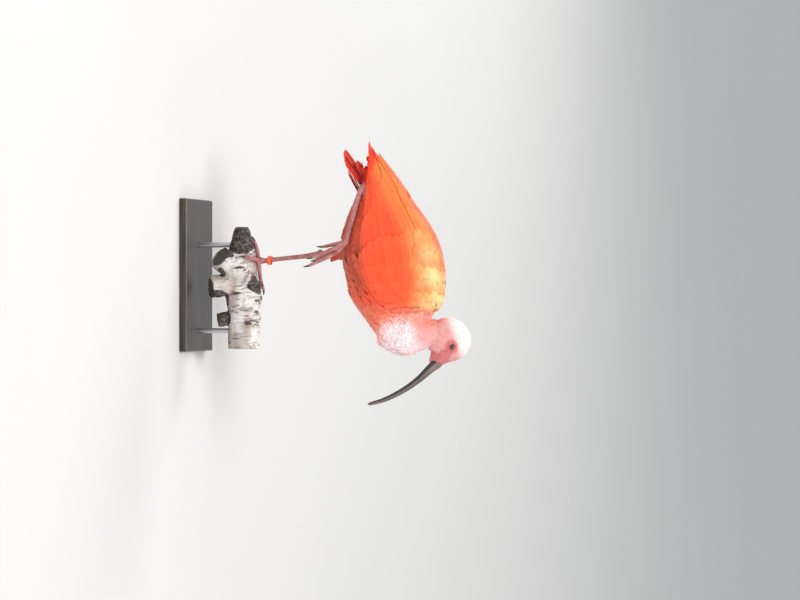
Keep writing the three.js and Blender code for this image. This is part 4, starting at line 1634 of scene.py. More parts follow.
class Shader(Nodes):
    """A material in the making, with short ways to its nodes."""

    def __init__(self, name: str) -> None:
        """Start a material with its Principled shader.

        Args:
            name: Name of the material.
        """
        self.material = bpy.data.materials.new(name)
        self.material.use_nodes = True
        super().__init__(self.material.node_tree)
        self.surface = self.tree.nodes["Principled BSDF"]

    def new(self, kind: str, inputs: dict | None = None, **settings: object) -> bpy.types.Node:
        """Add a shader node, its type without the ShaderNode prefix."""
        return super().new(f"ShaderNode{kind}", inputs, **settings)

    def surface_set(self, **values: object) -> None:
        """Set or link the Principled shader's inputs, named with underscores for spaces."""
        for key, value in values.items():
            self.feed(self.surface.inputs[key.replace("_", " ")], value)

    def math(self, operation: str, a: object, b: object = 0.0, c: object = 0.5
             ) -> bpy.types.NodeSocket:
        """One step of arithmetic.

        Args:
            operation: The node's operation.
            a: First value or socket.
            b: Second value or socket.
            c: What a multiply-add adds.

        Returns:
            The result.
        """
        return self.new("Math", {0: a, 1: b, 2: c}, operation=operation).outputs[0]

    def parts(self, name: str) -> bpy.types.bpy_prop_collection:
        """The three parts of a vector kept on the mesh.

        Args:
            name: Name of the attribute.

        Returns:
            Sockets X, Y and Z.
        """
        return self.new("SeparateXYZ", {0: self.stored(name).outputs["Vector"]}).outputs

    def mix(self, share: object, a: object, b: object, blend: str = "MIX") -> bpy.types.NodeSocket:
        """A mix of two colours.

        Args:
            share: How much of the second colour.
            a: First colour.
            b: Second colour.
            blend: The way of mixing.

        Returns:
            The result.
        """
        node = self.new("Mix", {}, data_type="RGBA", blend_type=blend)
        for number, value in ((0, share), (6, a), (7, b)):
            self.feed(node.inputs[number], value)
        return node.outputs[2]

    def place(self, scale: Row = (1, 1, 1)) -> bpy.types.NodeSocket:
        """Object coordinates, stretched."""
        source = self.new("TexCoord").outputs["Object"]
        return self.new("Mapping", {"Vector": source, "Scale": scale}).outputs[0]

    def noise(self, scale: float, detail: float = 3.0, vector: object = None,
              rough: float = 0.5) -> bpy.types.NodeSocket:
        """Noise between 0 and 1.

        Args:
            scale: How small the grain is.
            detail: Layers of noise.
            vector: Coordinates, or none for plain ones.
            rough: Strength of the finer layers.

        Returns:
            The result.
        """
        vector = vector or self.place()
        return self.new("TexNoise", {"Vector": vector, "Scale": scale, "Detail": detail,
                                     "Roughness": rough}).outputs[0]

    def cells(self, scale: float, stretch: Row = (1, 1, 1)) -> bpy.types.NodeSocket:
        """Distance to the edges of cells.

        Args:
            scale: How small the cells are.
            stretch: Stretch of the pattern.

        Returns:
            The distance, 0 on an edge.
        """
        inputs = {"Vector": self.place(stretch), "Scale": scale}
        return self.new("TexVoronoi", inputs, feature="DISTANCE_TO_EDGE").outputs["Distance"]

    def band(self, value: object, low: float, high: float) -> bpy.types.NodeSocket:
        """A smooth step from 0 at low to 1 at high.

        Args:
            value: The socket that is stepped.
            low: Where the step starts.
            high: Where it ends.

        Returns:
            The step.
        """
        node = self.new("MapRange", {"Value": value, "From Min": low, "From Max": high},
                        interpolation_type="SMOOTHSTEP")
        return node.outputs[0]

    def bump(self, height: object, strength: float, distance: float,
             under: object = None) -> bpy.types.NodeSocket:
        """A bumped normal.

        Args:
            height: Height between 0 and 1.
            strength: Share of the bump.
            distance: Its depth in millimetres.
            under: A normal to build on.

        Returns:
            The normal.
        """
        inputs = {"Height": height, "Strength": strength, "Distance": distance / MILLIMETRES}
        if under is not None:
            inputs["Normal"] = under
        return self.new("Bump", inputs).outputs[0]

    def stored(self, name: str) -> bpy.types.Node:
        """A value kept on the mesh."""
        return self.new("Attribute", {}, attribute_name=name)


class Grain:
    """Shader node groups that several finishes share."""

    @staticmethod
    def mottle() -> bpy.types.NodeTree:
        """Large and small noise as one value, with named inputs.

        Returns:
            The tree.
        """
        if "Mottle" in bpy.data.node_groups:
            return bpy.data.node_groups["Mottle"]
        nodes = Nodes(bpy.data.node_groups.new("Mottle", "ShaderNodeTree"))
        nodes.sockets("INPUT", Place="Vector", Large="Float", Small="Float")
        nodes.sockets("OUTPUT", Value="Float")
        given = nodes.new("NodeGroupInput").outputs
        large, small = (
            nodes.new("ShaderNodeTexNoise", {"Vector": given["Place"], "Scale": given[name],
                                             "Detail": 4.0}).outputs[0]
            for name in ("Large", "Small")
        )
        fine = nodes.new("ShaderNodeMath", {0: small, 1: 0.4}, operation="MULTIPLY")
        both = nodes.new("ShaderNodeMath", {0: large, 1: 0.6, 2: fine.outputs[0]},
                         operation="MULTIPLY_ADD")
        nodes.new("NodeGroupOutput", {0: both.outputs[0]})
        return nodes.tree

    @classmethod
    def add(cls, shader: Shader, large: float, small: float,
            scale: Row = (1, 1, 1)) -> bpy.types.NodeSocket:
        """Place the mottle group in a material.

        Args:
            shader: The material.
            large: Scale of its broad noise.
            small: Scale of its fine noise.
            scale: Stretch of the pattern.

        Returns:
            The mottle's value.
        """
        node = shader.tree.nodes.new("ShaderNodeGroup")
        node.node_tree = cls.mottle()
        shader.feed(node.inputs["Place"], shader.place(scale))
        node.inputs["Large"].default_value = large
        node.inputs["Small"].default_value = small
        return node.outputs[0]


@dataclass(frozen=True)
class FeatherFinish:
    """Soft feathers with a shaft, barbs, tones of their own and painted shade at each feather's
    covered root.
    """

    name: str = "feathers"
    roughness: float = 0.62
    sheen: float = 0.25
    barbs: float = 2.4
    tone: float = 0.16

    def build(self) -> bpy.types.Material:
        """Make the material.

        Returns:
            The material.
        """
        s = Shader(self.name)
        tint = s.stored("tint").outputs["Color"]
        tone = s.stored("tone").outputs["Fac"]
        leaf = s.parts("leaf")
        across, along = s.math("ABSOLUTE", leaf["X"]), leaf["Y"]
        reach = s.math("MULTIPLY", along, leaf["Z"])
        phase = s.math("MULTIPLY", s.math("SUBTRACT", reach, s.math("MULTIPLY", across, 3.2)),
                       self.barbs)
        barb = s.math("MULTIPLY_ADD", s.math("SINE", phase), 0.5, 0.5)
        lit = s.math("MULTIPLY_ADD", tone, self.tone, 1.0)
        # painted shade: each feather darker at its covered root and middle, lighter towards its
        # fringe and tip
        rim = s.band(s.math("MAXIMUM", across, along), 0.45, 1.0)
        fleck = s.math("MULTIPLY_ADD", Grain.add(s, 90, 420), 0.30, 0.85)
        streak = s.math("MULTIPLY_ADD", barb, 0.12, 0.93)
        shade = s.math("MULTIPLY_ADD", rim, 0.26, 0.89)
        for factor in (lit, fleck, streak):
            shade = s.math("MULTIPLY", shade, factor)
        value = s.new("CombineColor", {0: shade, 1: shade, 2: shade}).outputs[0]
        colour = s.mix(1.0, tint, value, "MULTIPLY")
        shaft = s.math("MULTIPLY", s.band(across, 0.10, 0.03), 0.35)
        colour = s.mix(shaft, colour, s.mix(1.0, tint, (0.80, 0.60, 0.55), "MULTIPLY"))
        s.surface_set(Base_Color=colour, Roughness=self.roughness, Sheen_Weight=self.sheen,
                      Sheen_Roughness=0.45, Specular_IOR_Level=0.3,
                      Normal=s.bump(barb, 0.5, 0.2))
        return s.material


@dataclass(frozen=True)
class SkinFinish:
    """The skin: the feathers' own ground, and wrinkled bare skin on the face."""

    name: str = "skin"
    roughness: float = 0.5

    def build(self) -> bpy.types.Material:
        """Make the material.

        Returns:
            The material.
        """
        s = Shader(self.name)
        tint = s.stored("tint").outputs["Color"]
        bare = s.stored("bare").outputs["Fac"]
        mottle = Grain.add(s, 160, 900)
        deep = s.mix(s.band(mottle, 0.35, 0.65), (0.80, 0.76, 0.75), (1.0, 1.0, 1.0))
        colour = s.mix(1.0, tint, deep, "MULTIPLY")
        crease = s.band(s.cells(750.0), 0.0, 0.25)
        height = s.math("MULTIPLY", s.math("ADD", crease, mottle), bare)
        s.surface_set(Base_Color=colour, Roughness=self.roughness,
                      Subsurface_Weight=0.08, Subsurface_Scale=0.002,
                      Normal=s.bump(height, 0.55, 0.4))
        return s.material


@dataclass(frozen=True)
class LegFinish:
    """Scaled bare skin of shank, tarsus and toes."""

    name: str = "leg_skin"
    pale: Row = (0.62, 0.28, 0.26)
    deep: Row = (0.36, 0.11, 0.11)

    def build(self) -> bpy.types.Material:
        """Make the material.

        Returns:
            The material.
        """
        s = Shader(self.name)
        scale = s.band(s.cells(640.0, (1, 1, 0.62)), 0.02, 0.16)
        mottle = Grain.add(s, 70, 350)
        colour = s.mix(s.band(mottle, 0.38, 0.62), self.deep, self.pale)
        seam = s.math("MULTIPLY", s.math("SUBTRACT", 1.0, scale), 0.55)
        colour = s.mix(seam, colour, self.deep)
        s.surface_set(Base_Color=colour, Roughness=0.52, Subsurface_Weight=0.05,
                      Subsurface_Scale=0.002,
                      Normal=s.bump(scale, 0.6, 0.35, s.bump(mottle, 0.3, 0.5)))
        return s.material


@dataclass(frozen=True)
class HornFinish:
    """Horn of bill or claws: a colour at the root, the middle and the tip, and a painted shade on
    the underside.
    """

    name: str
    root: Row
    middle: Row
    tip: Row
    # colour of the underside: painted shade, out of the light from above
    below: Row
    roughness: float = 0.4

    def build(self) -> bpy.types.Material:
        """Make the material.

        Returns:
            The material.
        """
        s = Shader(self.name)
        leaf = s.parts("leaf")
        along, up = leaf["Y"], leaf["Z"]
        colour = s.mix(s.band(along, 0.04, 0.34), self.root, self.middle)
        colour = s.mix(s.band(along, 0.62, 0.97), colour, self.tip)
        # painted shade: the underside turns darker
        colour = s.mix(s.band(up, 0.15, -0.35), colour, self.below)
        fine = Grain.add(s, 60, 600)
        colour = s.mix(0.5, colour, s.mix(s.band(fine, 0.3, 0.7), (0.5, 0.5, 0.5), (1.2, 1.2, 1.2)),
                       "MULTIPLY")
        s.surface_set(Base_Color=colour, Roughness=self.roughness, Coat_Weight=0.15,
                      Coat_Roughness=0.3, Normal=s.bump(fine, 0.35, 0.3))
        return s.material


@dataclass(frozen=True)
class EyeFinish:
    """A dark maroon iris round a black pupil under a wet cornea."""

    name: str = "eye"

    def build(self) -> bpy.types.Material:
        """Make the material.

        Returns:
            The material.
        """
        s = Shader(self.name)
        ring = s.parts("leaf")["X"]
        streak = s.noise(900, 2)
        iris = s.mix(streak, (0.05, 0.008, 0.012), (0.16, 0.03, 0.03))
        colour = s.mix(s.band(ring, 0.40, 0.46), (0.003, 0.002, 0.002), iris)
        colour = s.mix(s.band(ring, 0.80, 0.92), colour, (0.02, 0.006, 0.006))
        s.surface_set(Base_Color=colour, Roughness=0.12, Coat_Weight=1.0, Coat_Roughness=0.02)
        return s.material


@dataclass(frozen=True)
class BandFinish:
    """The leg band's smooth orange-red plastic, a little scuffed."""

    name: str = "leg_band"

    def build(self) -> bpy.types.Material:
        """Make the material.

        Returns:
            The material.
        """
        s = Shader(self.name)
        wear = Grain.add(s, 150, 1300)
        colour = s.mix(s.band(wear, 0.35, 0.7), (0.90, 0.10, 0.03), (0.98, 0.17, 0.06))
        rough = s.new("MapRange", {"Value": wear, "To Min": 0.28, "To Max": 0.5}).outputs[0]
        s.surface_set(Base_Color=colour, Roughness=rough, Normal=s.bump(wear, 0.15, 0.1))
        return s.material


@dataclass(frozen=True)
class BarkFinish:
    """Birch: white papery bark with dark lenticels and scars, dark knots and sawn faces."""

    name: str = "birch"

    def build(self) -> bpy.types.Material:
        """Make the material.

        Returns:
            The material.
        """
        s = Shader(self.name)
        dark, sawn, ring = s.parts("kind")
        broad = s.noise(26, 4)
        white = s.mix(s.band(broad, 0.38, 0.62), (0.50, 0.44, 0.39), (0.80, 0.77, 0.72))
        rosy = s.noise(48, 4, s.place((0.6, 1, 1)))
        white = s.mix(s.math("MULTIPLY", s.band(rosy, 0.50, 0.66), 0.7), white, (0.42, 0.29, 0.24))
        ashy = s.noise(75, 5, s.place((1, 0.5, 0.5)), 0.65)
        white = s.mix(s.math("MULTIPLY", s.band(ashy, 0.54, 0.66), 0.7), white, (0.21, 0.19, 0.18))
        dash = s.band(s.noise(1.0, 2, s.place((520, 62, 62))), 0.60, 0.68)
        scar = s.band(s.noise(1.0, 6, s.place((62, 24, 24)), 0.66), 0.555, 0.62)
        black = s.math("MAXIMUM", s.math("MULTIPLY", dash, 0.8), s.math("MULTIPLY", scar, 0.95))
        colour = s.mix(black, white, (0.035, 0.028, 0.024))
        crust = s.noise(210, 5)
        rind = s.mix(s.band(crust, 0.35, 0.7), (0.022, 0.017, 0.015), (0.16, 0.13, 0.11))
        ragged = s.math("MULTIPLY", s.math("SUBTRACT", s.noise(95, 4), 0.5), 1.3)
        torn = s.math("ADD", dark, ragged)
        colour = s.mix(s.band(torn, 0.42, 0.58), colour, rind)
        turns = s.math("MULTIPLY_ADD", s.math("SINE", s.math("MULTIPLY", ring, 4.2)), 0.5, 0.5)
        weather = s.mix(s.noise(120, 4), (0.075, 0.070, 0.060), (0.20, 0.185, 0.155))
        wood = s.mix(s.math("MULTIPLY", turns, 0.45), weather, (0.045, 0.04, 0.035))
        colour = s.mix(s.band(sawn, 0.4, 0.6), colour, wood)
        height = s.math("SUBTRACT", s.math("MULTIPLY", crust, 0.6), s.math("MULTIPLY", black, 0.7))
        s.surface_set(Base_Color=colour, Roughness=0.82,
                      Normal=s.bump(height, 0.7, 1.1, s.bump(s.noise(900, 3), 0.3, 0.3)))
        return s.material


@dataclass(frozen=True)
class StainedWoodFinish:
    """Dark stained wood with open grain along X."""

    name: str = "stained_wood"

    def build(self) -> bpy.types.Material:
        """Make the material.

        Returns:
            The material.
        """
        s = Shader(self.name)
        grain = s.noise(1.0, 6, s.place((22, 260, 260)), 0.6)
        pore = s.band(s.noise(1.0, 3, s.place((60, 1400, 1400))), 0.56, 0.66)
        colour = s.mix(s.band(grain, 0.3, 0.7), (0.016, 0.011, 0.008), (0.060, 0.040, 0.028))
        colour = s.mix(s.math("MULTIPLY", pore, 0.6), colour, (0.006, 0.005, 0.004))
        s.surface_set(Base_Color=colour, Roughness=0.42, Coat_Weight=0.2, Coat_Roughness=0.25,
                      Normal=s.bump(s.math("SUBTRACT", grain, pore), 0.25, 0.2))
        return s.material


@dataclass(frozen=True)
class SteelFinish:
    """Brushed steel rods, the brushing round them."""

    name: str = "brushed_steel"

    def build(self) -> bpy.types.Material:
        """Make the material.

        Returns:
            The material.
        """
        s = Shader(self.name)
        brush = s.noise(1.0, 3, s.place((80, 80, 4200)))
        colour = s.mix(brush, (0.42, 0.42, 0.43), (0.62, 0.62, 0.63))
        rough = s.new("MapRange", {"Value": brush, "To Min": 0.22, "To Max": 0.42}).outputs[0]
        s.surface_set(Base_Color=colour, Metallic=1.0, Roughness=rough,
                      Normal=s.bump(brush, 0.12, 0.05))
        return s.material


@dataclass
class Leg:
    """A leg's bare parts as one skin: shank, heel, tarsus, palm and toes."""

    name: str
    bones: list
    toes: dict
    heel: Row
    palm: Row
    nodes: tuple

    def joint_knobs(self, toe: Sequence[Row]) -> list:
        """Small swellings at a toe's joints.

        Args:
            toe: The toe's stations.

        Returns:
            The swellings.
        """
        path = spline(toe, 9)
        return [
            Mesher.limb("knuckle", [[*(p[:3] - q), p[3] * 0.6], [*p[:3], p[3] * 1.16],
                                    [*(p[:3] + q), p[3] * 0.6]], 9, 14)
            for p, q in ((path[k], (path[k + 1, :3] - path[k, :3]) * 0.45) for k in (2, 4, 6))
        ]

    def build(self) -> bpy.types.Object:
        """Melt the bare parts together.

        Returns:
            The object.
        """
        parts = [Mesher.limb("bone", rows, 60, 28) for rows in self.bones]
        for rows in (self.heel, self.palm):
            x, y, z, r = rows
            stations = [[x - 0.45 * r, y, z + 0.3 * r, r * 0.82], [x, y, z, r],
                        [x + 0.45 * r, y, z - 0.3 * r, r * 0.8]]
            parts.append(Mesher.limb("knob", stations, 12, 24))
        for toe in self.toes.values():
            parts.append(Mesher.limb("toe", toe, 40, 20))
            parts += self.joint_knobs(toe)
        item = Mesher.melt(parts, self.name, 0.55, smooth=3)
        LOG.info("%s: %d points", self.name, len(item.data.vertices))
        return item


@dataclass
class Claw:
    """A curved claw that grows out of a toe's end."""

    length: float = 9.5
    sunk: float = 1.5
    girth: float = 0.86
    curve: float = 0.45
    taper: float = 1.6
    flatness: float = 0.8
    rows: int = 14
    around: int = 16

    def build(self, name: str, toe: Sequence[Row], droop: Row) -> bpy.types.Object:
        """Make one claw.

        Args:
            name: Name of the piece.
            toe: The toe's stations.
            droop: The way that it curves down.

        Returns:
            The claw.
        """
        end, before = np.array(toe[-1][:3], float), np.array(toe[-2][:3], float)
        along = unit(end - before)
        share = np.linspace(0, 1, self.rows)
        radius = toe[-1][3] * self.girth * np.sqrt(np.clip(1 - share**self.taper, 0.02, 1))
        stations = [
            [*(end + along * (-self.sunk + (self.length + self.sunk) * t)
               + np.asarray(droop) * self.length * self.curve * t * t), r]
            for t, r in zip(share, radius)
        ]
        item = Mesher.limb(name, stations, self.rows, self.around, self.flatness)
        points = Mesher.points(item.data)
        reach = (points - end) @ along / self.length
        leaf = np.column_stack([0 * reach, np.clip(reach, 0, 1), 0.5 + 0 * reach])
        Mesher.attribute(item.data, "leaf", leaf)
        return item


@dataclass
class Bill:
    """The long curved bill: two halves that meet along the mouth, grooved at the sides."""

    rows: tuple = (
        (124.5, 288.5, 5.6, 5.4),
        (131.6, 280.0, 7.9, 7.1),
        (141, 268.2, 6.7, 6.1),
        (155.5, 252.3, 5.2, 4.9),
        (169, 233.8, 4.5, 4.2),
        (180, 214.5, 3.9, 3.6),
        (187.6, 197.5, 3.4, 3.1),
        (192.6, 180.5, 2.7, 2.6),
        (194.4, 172.6, 1.7, 1.7),
    )
    mouth: float = -0.12
    gap: float = 0.22
    groove: float = 0.42
    groove_depth: float = 0.12
    nostril_depth: float = 0.34
    steps: int = 90
    around: int = 24

    def half(self, name: str, part: int) -> bpy.types.Object:
        """One half of the bill.

        Args:
            name: Name of the piece.
            part: 1 for the upper half and -1 for the lower one.

        Returns:
            The closed half, with its leaf coordinates.
        """
        path = spline([[x, 0.0, z, depth, width] for x, z, depth, width in self.rows], self.steps)
        along = unit(np.gradient(path[:, :3], axis=0))
        rings, leaf = [], []
        for i, (row, way) in enumerate(zip(path, along)):
            t = i / (self.steps - 1)
            up = np.array([-way[2], 0.0, way[0]])
            depth, width = row[3], row[4]
            split = depth * self.mouth + part * self.gap / 2
            reach = depth - split if part > 0 else depth + split
            angle = np.pi * np.arange(self.around + 1) / self.around
            rise = np.sin(angle)
            across = np.cos(angle) * width
            if part > 0:
                off = rise - self.groove
                groove = self.groove_depth * np.exp(-(off / 0.10) ** 2) * ramp(0.92, 0.5, t)
                nostril = self.nostril_depth * ramp(0.03, 0.06, t) * ramp(0.15, 0.12, t)
                across = across * (1 - groove) * (1 - nostril * np.exp(-(off / 0.07) ** 2))
            lip = split + part * reach * rise - part * 0.25 * (rise < 0.02)
            end = math.sqrt(max(1 - max(t - 0.975, 0) / 0.026, 0.05))
            rings.append(row[:3] + np.outer(lip * end, up) + np.outer(across * end, [0, 1, 0]))
            height = (split + part * reach * rise) / depth
            leaf.append(np.column_stack([across / width, np.full_like(rise, t), height]))
        item = Mesher.loft(name, np.array(rings))
        flat = np.vstack([*leaf, leaf[0].mean(0)[None], leaf[-1].mean(0)[None]])
        Mesher.attribute(item.data, "leaf", flat[: len(item.data.vertices)])
        return item


@dataclass
class Eye:
    """An eye: the ball, with the leaf attribute that its finish reads, and its lids."""

    centre: Row = (107.0, 12.4, 305.5)
    radius: float = 5.55
    shown: float = 4.1
    lid_radius: float = 4.15
    lid_thickness: float = 0.75

    def build(self, name: str, side: int) -> bpy.types.Object:
        """Make one eye.

        Args:
            name: Name of the piece.
            side: RIGHT or LEFT.

        Returns:
            The object.
        """
        polar = np.linspace(0.0, np.pi, 24)[1:-1]
        x, y, z = self.centre
        bulge = np.where(polar < 0.75, 1.03, 1.0)
        points = np.array([
            [[x + self.radius * math.sin(p) * math.cos(a),
              side * (y + self.radius * b * math.cos(p)),
              z + self.radius * math.sin(p) * math.sin(a)] for a in circle(32)]
            for p, b in zip(polar, bulge)
        ])
        item = Mesher.loft(name, points)
        at = Mesher.points(item.data)
        ring = np.hypot(at[:, 0] - x, at[:, 2] - z) / self.shown
        Mesher.attribute(item.data, "leaf", np.column_stack([ring, ring, ring]))
        return item

    def lids(self, name: str, side: int, plumage: Plumage) -> bpy.types.Object:
        """The two lids round one eye, the upper one thicker and lower over the eye.

        Args:
            name: Name of the piece.
            side: The side of the head.
            plumage: The colours by place.

        Returns:
            The closed ring of both lids.
        """
        section = circle(12)
        x, y, z = self.centre
        level = y + math.sqrt(self.radius**2 - self.lid_radius**2) + 0.1
        rings = []
        for a in circle(60):
            upper = max(math.sin(a), 0.0)
            corner = abs(math.cos(a)) ** 8
            thick = self.lid_thickness * (1 + 0.45 * upper - 0.2 * corner)
            reach = self.lid_radius * (1 + 0.16 * corner - 0.07 * upper)
            out = reach + thick * np.cos(section)
            rise = level + 0.35 * upper + thick * np.sin(section)
            rings.append(np.column_stack([x + out * math.cos(a), side * rise,
                                          z + out * math.sin(a)]))
        item = Mesher.tube(name, np.array(rings))
        count = len(item.data.vertices)
        Mesher.attribute(item.data, "tint", np.tile(plumage.lid, (count, 1)))
        Mesher.attribute(item.data, "bare", np.ones(count))
        return item


@dataclass
class LegBand:
    """A loose ring round the tarsus, with a shallow seam where its ends meet."""

    inner: float = 5.3
    outer: float = 6.8
    height: float = 6.4
    tilt: float = 9.0
    soft: float = 0.45
    bulge: float = 0.12
    hollow: float = 0.1
    seam_turn: float = 1.9
    seam_depth: float = 0.045
    seam_width: float = 0.05
    around: int = 96
    centre: Row = (-22.4, 4.2, 20.5)

    def build(self) -> bpy.types.Object:
        """Make the ring.

        Returns:
            The object.
        """
        half, soft = self.height / 2, self.soft
        profile = np.array([
            [self.inner, -half + soft], [self.inner + soft * 0.7, -half],
            [self.outer - soft, -half], [self.outer, -half + soft],
            [self.outer + self.bulge, 0.0], [self.outer, half - soft], [self.outer - soft, half],
            [self.inner + soft * 0.7, half], [self.inner, half - soft],
            [self.inner - self.hollow, 0.0],
        ])
        tilt = math.radians(self.tilt)
        rings = []
        for a in circle(self.around):
            off = math.remainder(a + self.seam_turn, CIRCLE)
            seam = 1 - self.seam_depth * math.exp(-((off / self.seam_width) ** 2))
            r = np.where(profile[:, 0] > (self.inner + self.outer) / 2, profile[:, 0] * seam,
                         profile[:, 0])
            ring = np.column_stack([r * math.cos(a), r * math.sin(a), profile[:, 1]])
            x = ring[:, 0] * math.cos(tilt) + ring[:, 2] * math.sin(tilt)
            z = -ring[:, 0] * math.sin(tilt) + ring[:, 2] * math.cos(tilt)
            rings.append(np.column_stack([x, ring[:, 1], z]) + self.centre)
        return Mesher.tube("band_ring", np.array(rings))


@dataclass
class Perch:
    """The cut end of the birch branch with its stubs."""

    axis: Profile = field(default_factory=lambda: Profile([
        [-73, -23, 9], [-69, -23, 12.0], [-58, -23, 15.0], [-46, -23, 18.6], [-34, -23, 21.8],
        [-21, -23, 22.6], [2, -22.5, 23.8], [30, -20, 28.2], [60, -19.5, 25.8], [112, -20, 23.8],
    ]))
    y: float = 4.0
    stubs: tuple = (
        ((0, 4, -24, 20), (-27, -28, -49, 17.2)),
        ((12, 4, -24, 19), (18, -21, -66, 16.2)),
        ((62, 4, -24, 13), (68, -9, -58, 9.8)),
    )
    spur: tuple = ((7, -12, -12, 13), (18, -9, 13.6, 3.2))
    dish: tuple = ((0.88, 0.0), (0.8, -1.1), (0.4, -1.6))
    ripple: float = 0.025
    relief: float = 0.35
    crumbs: float = 0.9

    def build(self) -> bpy.types.Object:
        """Melt trunk and stubs, roughen the bark and mark what is dark or sawn.

        Returns:
            The object.
        """
        x = np.r_[np.linspace(-72.6, -68, 5), np.linspace(-66, 111.6, 60)]
        rings = []
        angle = circle(60)
        for place, (height, radius) in zip(x, self.axis(x)):
            bulge = radius * (1 + self.ripple * np.sin(3 * angle + place / 14) - 0.01)
            rings.append(np.column_stack([np.full(60, place), self.y + bulge * np.cos(angle),
                                          height + bulge * np.sin(angle)]))
        parts = [Mesher.loft("trunk", np.array(rings))]
        parts += [self.stub(root, end) for root, end in (*self.stubs, self.spur)]
        item = Mesher.melt(parts, "birch_perch", 1.15, smooth=3)
        points = Mesher.points(item.data)
        normals = Mesher.normals(item.data)
        kind = self.kinds(points, normals)
        x, y, z = points.T
        rough = 0.35 * np.sin(x / 2.1 + 2 * np.sin(z / 5)) + 0.5 * np.sin(x / 7.7 + y / 6)
        crumble = np.sin(x * 1.1) * np.sin(y * 1.3) * np.sin(z)
        lift = self.relief * (rough - 1) * (1 - kind[:, 1]) + self.crumbs * kind[:, 0] * crumble
        underfoot = ramp(26, 12, np.hypot(x + 21, y - 4))
        lift = np.where(z > -12, lift * (1 - underfoot), lift)
        Mesher.move(item.data, points + normals * lift[:, None])
        Mesher.attribute(item.data, "kind", kind)
        LOG.info("perch: %d points", len(points))
        return item

    def stub(self, root: Row, end: Row) -> bpy.types.Object:
        """A flat-ended stub of a twig.

        Args:
            root: Place and radius at the root.
            end: Place and radius at the end.

        Returns:
            The object.
        """
        a, b = np.array(root, float), np.array(end, float)
        along = unit(b[:3] - a[:3])
        side = unit(np.cross(along, [0.2, 0.3, 1.0]))
        up = np.cross(side, along)
        angle = circle(48)
        rings = []
        for t in np.linspace(0, 1, 26):
            row = a + (b - a) * t
            swell = row[3] * (1 + 0.05 * math.sin(9 * t) + 0.03 * np.sin(5 * angle))
            rings.append(row[:3] + np.outer(swell * np.cos(angle), side)
                         + np.outer(swell * np.sin(angle), up))
        last, middle = rings[-1], rings[-1].mean(0)
        for share, sunk in self.dish:
            rings.append(middle + (last - middle) * share + along * sunk)
        return Mesher.loft("stub", np.array(rings))

    def kinds(self, points: Array, normals: Array) -> Array:
        """Mark the wood.

        Args:
            points: Figure millimetres.
            normals: The normal at each point.

        Returns:
            For each point how dark its bark is, whether it is sawn, and how far it lies
            from the middle of its face.
        """
        x, y, z = points.T
        dark = ramp(-33, -45, x + 0.35 * y)
        sawn = ramp(-69.5, -71.5, x) * ramp(0.4, 0.8, -normals[:, 0])
        ring = np.hypot(y - self.y, z + 22)
        far = ramp(110, 111.2, x) * ramp(0.5, 0.9, normals[:, 0])
        sawn = np.maximum(sawn, far)
        for root, end in self.stubs:
            a, b = np.array(root[:3], float), np.array(end[:3], float)
            along = unit(b - a)
            reach = (points - a) @ along - np.linalg.norm(b - a)
            off = np.linalg.norm(points - b - np.outer((points - b) @ along, along), axis=1)
            face = ramp(-4.5, -2.4, reach) * ramp(0.3, 0.75, normals @ along)
            face = face * ramp(end[3] - 1.5, end[3] - 4.0, off)
            sawn = np.maximum(sawn, face)
            ring = np.where(off < end[3] + 2, off, ring)
        a, b = np.array(self.spur[0][:3], float), np.array(self.spur[1][:3], float)
        along = unit(b - a)
        share = (points - a) @ along / np.linalg.norm(b - a)
        off = np.linalg.norm(points - a - np.outer((points - a) @ along, along), axis=1)
        dark = np.maximum(dark, ramp(0.05, 0.4, share) * ramp(16, 11, off))
        crotch = ramp(15, 6, np.abs(x - 44 - 0.2 * z)) * ramp(-30, -44, z)
        crotch = np.maximum(crotch, ramp(17, 12, np.hypot(x - 65, z + 50)) * ramp(2, -6, y))
        crotch = np.maximum(crotch, ramp(9, 4, np.hypot(x + 4, z + 47)) * ramp(8, 0, y))
        return np.column_stack([np.maximum(dark, crotch), sawn, ring])


